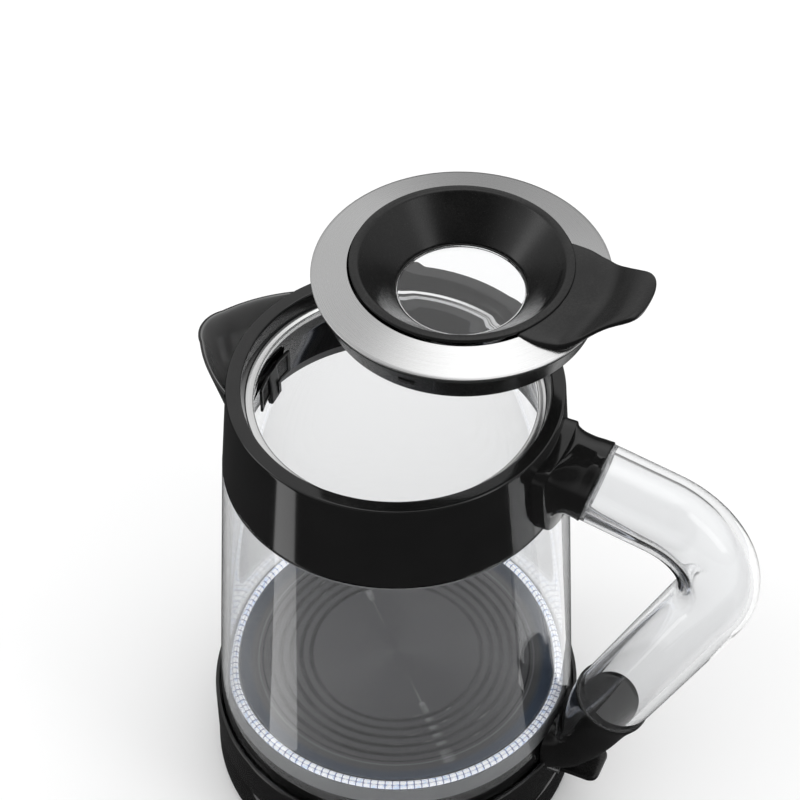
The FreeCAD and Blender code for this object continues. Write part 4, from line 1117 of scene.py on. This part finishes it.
# The studio, in metres and watts. Between the two fade heights of a reflection's direction its light goes
# from the first value to the second. A dark card round the facing direction dims it between the two edges,
# which are cosines of the angle from facing.
studio = {
    "floorHalf": 3.0, "fadeHeight": (-0.08, 0.45), "fadeLight": (0.04, 0.9), "facing": (0.276, -0.616, 0.737),
    "cardEdge": (0.6, 0.9), "cardLight": (1.0, 0.06), "aim": (0, 0, 0.2),
    "boxes": {
        "ceilingBox": {"place": (0.1, 0.25, 1.3), "size": (0.9, 0.6), "power": 1.5},
        "leftBox": {"place": (-0.9, -0.35, 0.75), "size": (0.25, 0.9), "power": 1.5},
        "rightBox": {"place": (0.95, -0.2, 0.8), "size": (0.3, 0.9), "power": 1.5},
        "lowLeftStrip": {"place": (-0.225, -0.237, -0.015), "size": (0.08, 0.3), "power": 0.12,
                         "aim": (-0.016, -0.066, 0.21), "glossyOnly": True},
        "lowRightStrip": {"place": (0.256, 0.181, -0.015), "size": (0.22, 0.3), "power": 0.25,
                          "aim": (0.067, -0.012, 0.21), "glossyOnly": True}}}


def paleFloor():
    half = studio["floorHalf"]
    corners = [(-half, -half, 0), (half, -half, 0), (half, half, 0), (-half, half, 0)]
    mesh = bpy.data.meshes.new("floor")
    mesh.from_pydata(corners, [], [(0, 1, 2, 3)])
    floor = addObject("floor", mesh)
    material, tree, shader = newMaterial("palePaper", Roughness=0.9, Specular_IOR_Level=0.1)
    cloud = noise(tree, objectPoint(tree), 3.0)
    feed(tree, shader["Base Color"], mixColours(tree, cloud, grey(0.93), grey(0.95)))
    mesh.materials.append(material)
    floor.visible_glossy = False


def softBox(name, look):
    lamp = bpy.data.lights.new(name, "AREA")
    lamp.shape = "RECTANGLE"
    lamp.size, lamp.size_y = look["size"]
    lamp.energy = look["power"]
    made = bpy.data.objects.new(name, lamp)
    made.location = look["place"]
    toward = np.array(look.get("aim", studio["aim"])) - np.array(look["place"])
    made.rotation_euler = Vector(toward).to_track_quat("-Z", "Y").to_euler()
    made.visible_camera = False
    made.visible_transmission = False
    if look.get("glossyOnly"):
        made.visible_diffuse = False
    bpy.context.scene.collection.objects.link(made)


# The room is white to the eye. In reflections it fades from a bright ceiling to a dark floor, as in a studio
# with black cards below the table, and it is dark round the camera.
def studioWorld():
    world = bpy.data.worlds.new("studio")
    bpy.context.scene.world = world
    world.use_nodes = True
    tree = world.node_tree
    background = tree.nodes["Background"]
    direction = tree.nodes.new("ShaderNodeSeparateXYZ")
    feed(tree, direction.inputs[0], tree.nodes.new("ShaderNodeTexCoord").outputs["Generated"])
    sky = ranged(tree, direction.outputs["Z"], *studio["fadeHeight"], *studio["fadeLight"])
    facing = tree.nodes.new("ShaderNodeVectorMath")
    facing.operation = "DOT_PRODUCT"
    feed(tree, facing.inputs[0], tree.nodes.new("ShaderNodeTexCoord").outputs["Generated"])
    facing.inputs[1].default_value = studio["facing"]
    card = ranged(tree, facing.outputs["Value"], *studio["cardEdge"], *studio["cardLight"])
    sky = math2(tree, "MULTIPLY", sky, card)
    glossy = tree.nodes.new("ShaderNodeLightPath").outputs["Is Glossy Ray"]
    value = math2(tree, "ADD", math2(tree, "MULTIPLY", sky, glossy), math2(tree, "SUBTRACT", 1.0, glossy))
    colour = tree.nodes.new("ShaderNodeCombineColor")
    for socket in colour.inputs[:3]:
        feed(tree, socket, value)
    feed(tree, background.inputs["Color"], colour.outputs[0])


studioWorld()
paleFloor()
for name, look in studio["boxes"].items():
    softBox(name, look)
bpy.context.scene.view_settings.view_transform = "Standard"
print("studio ready")
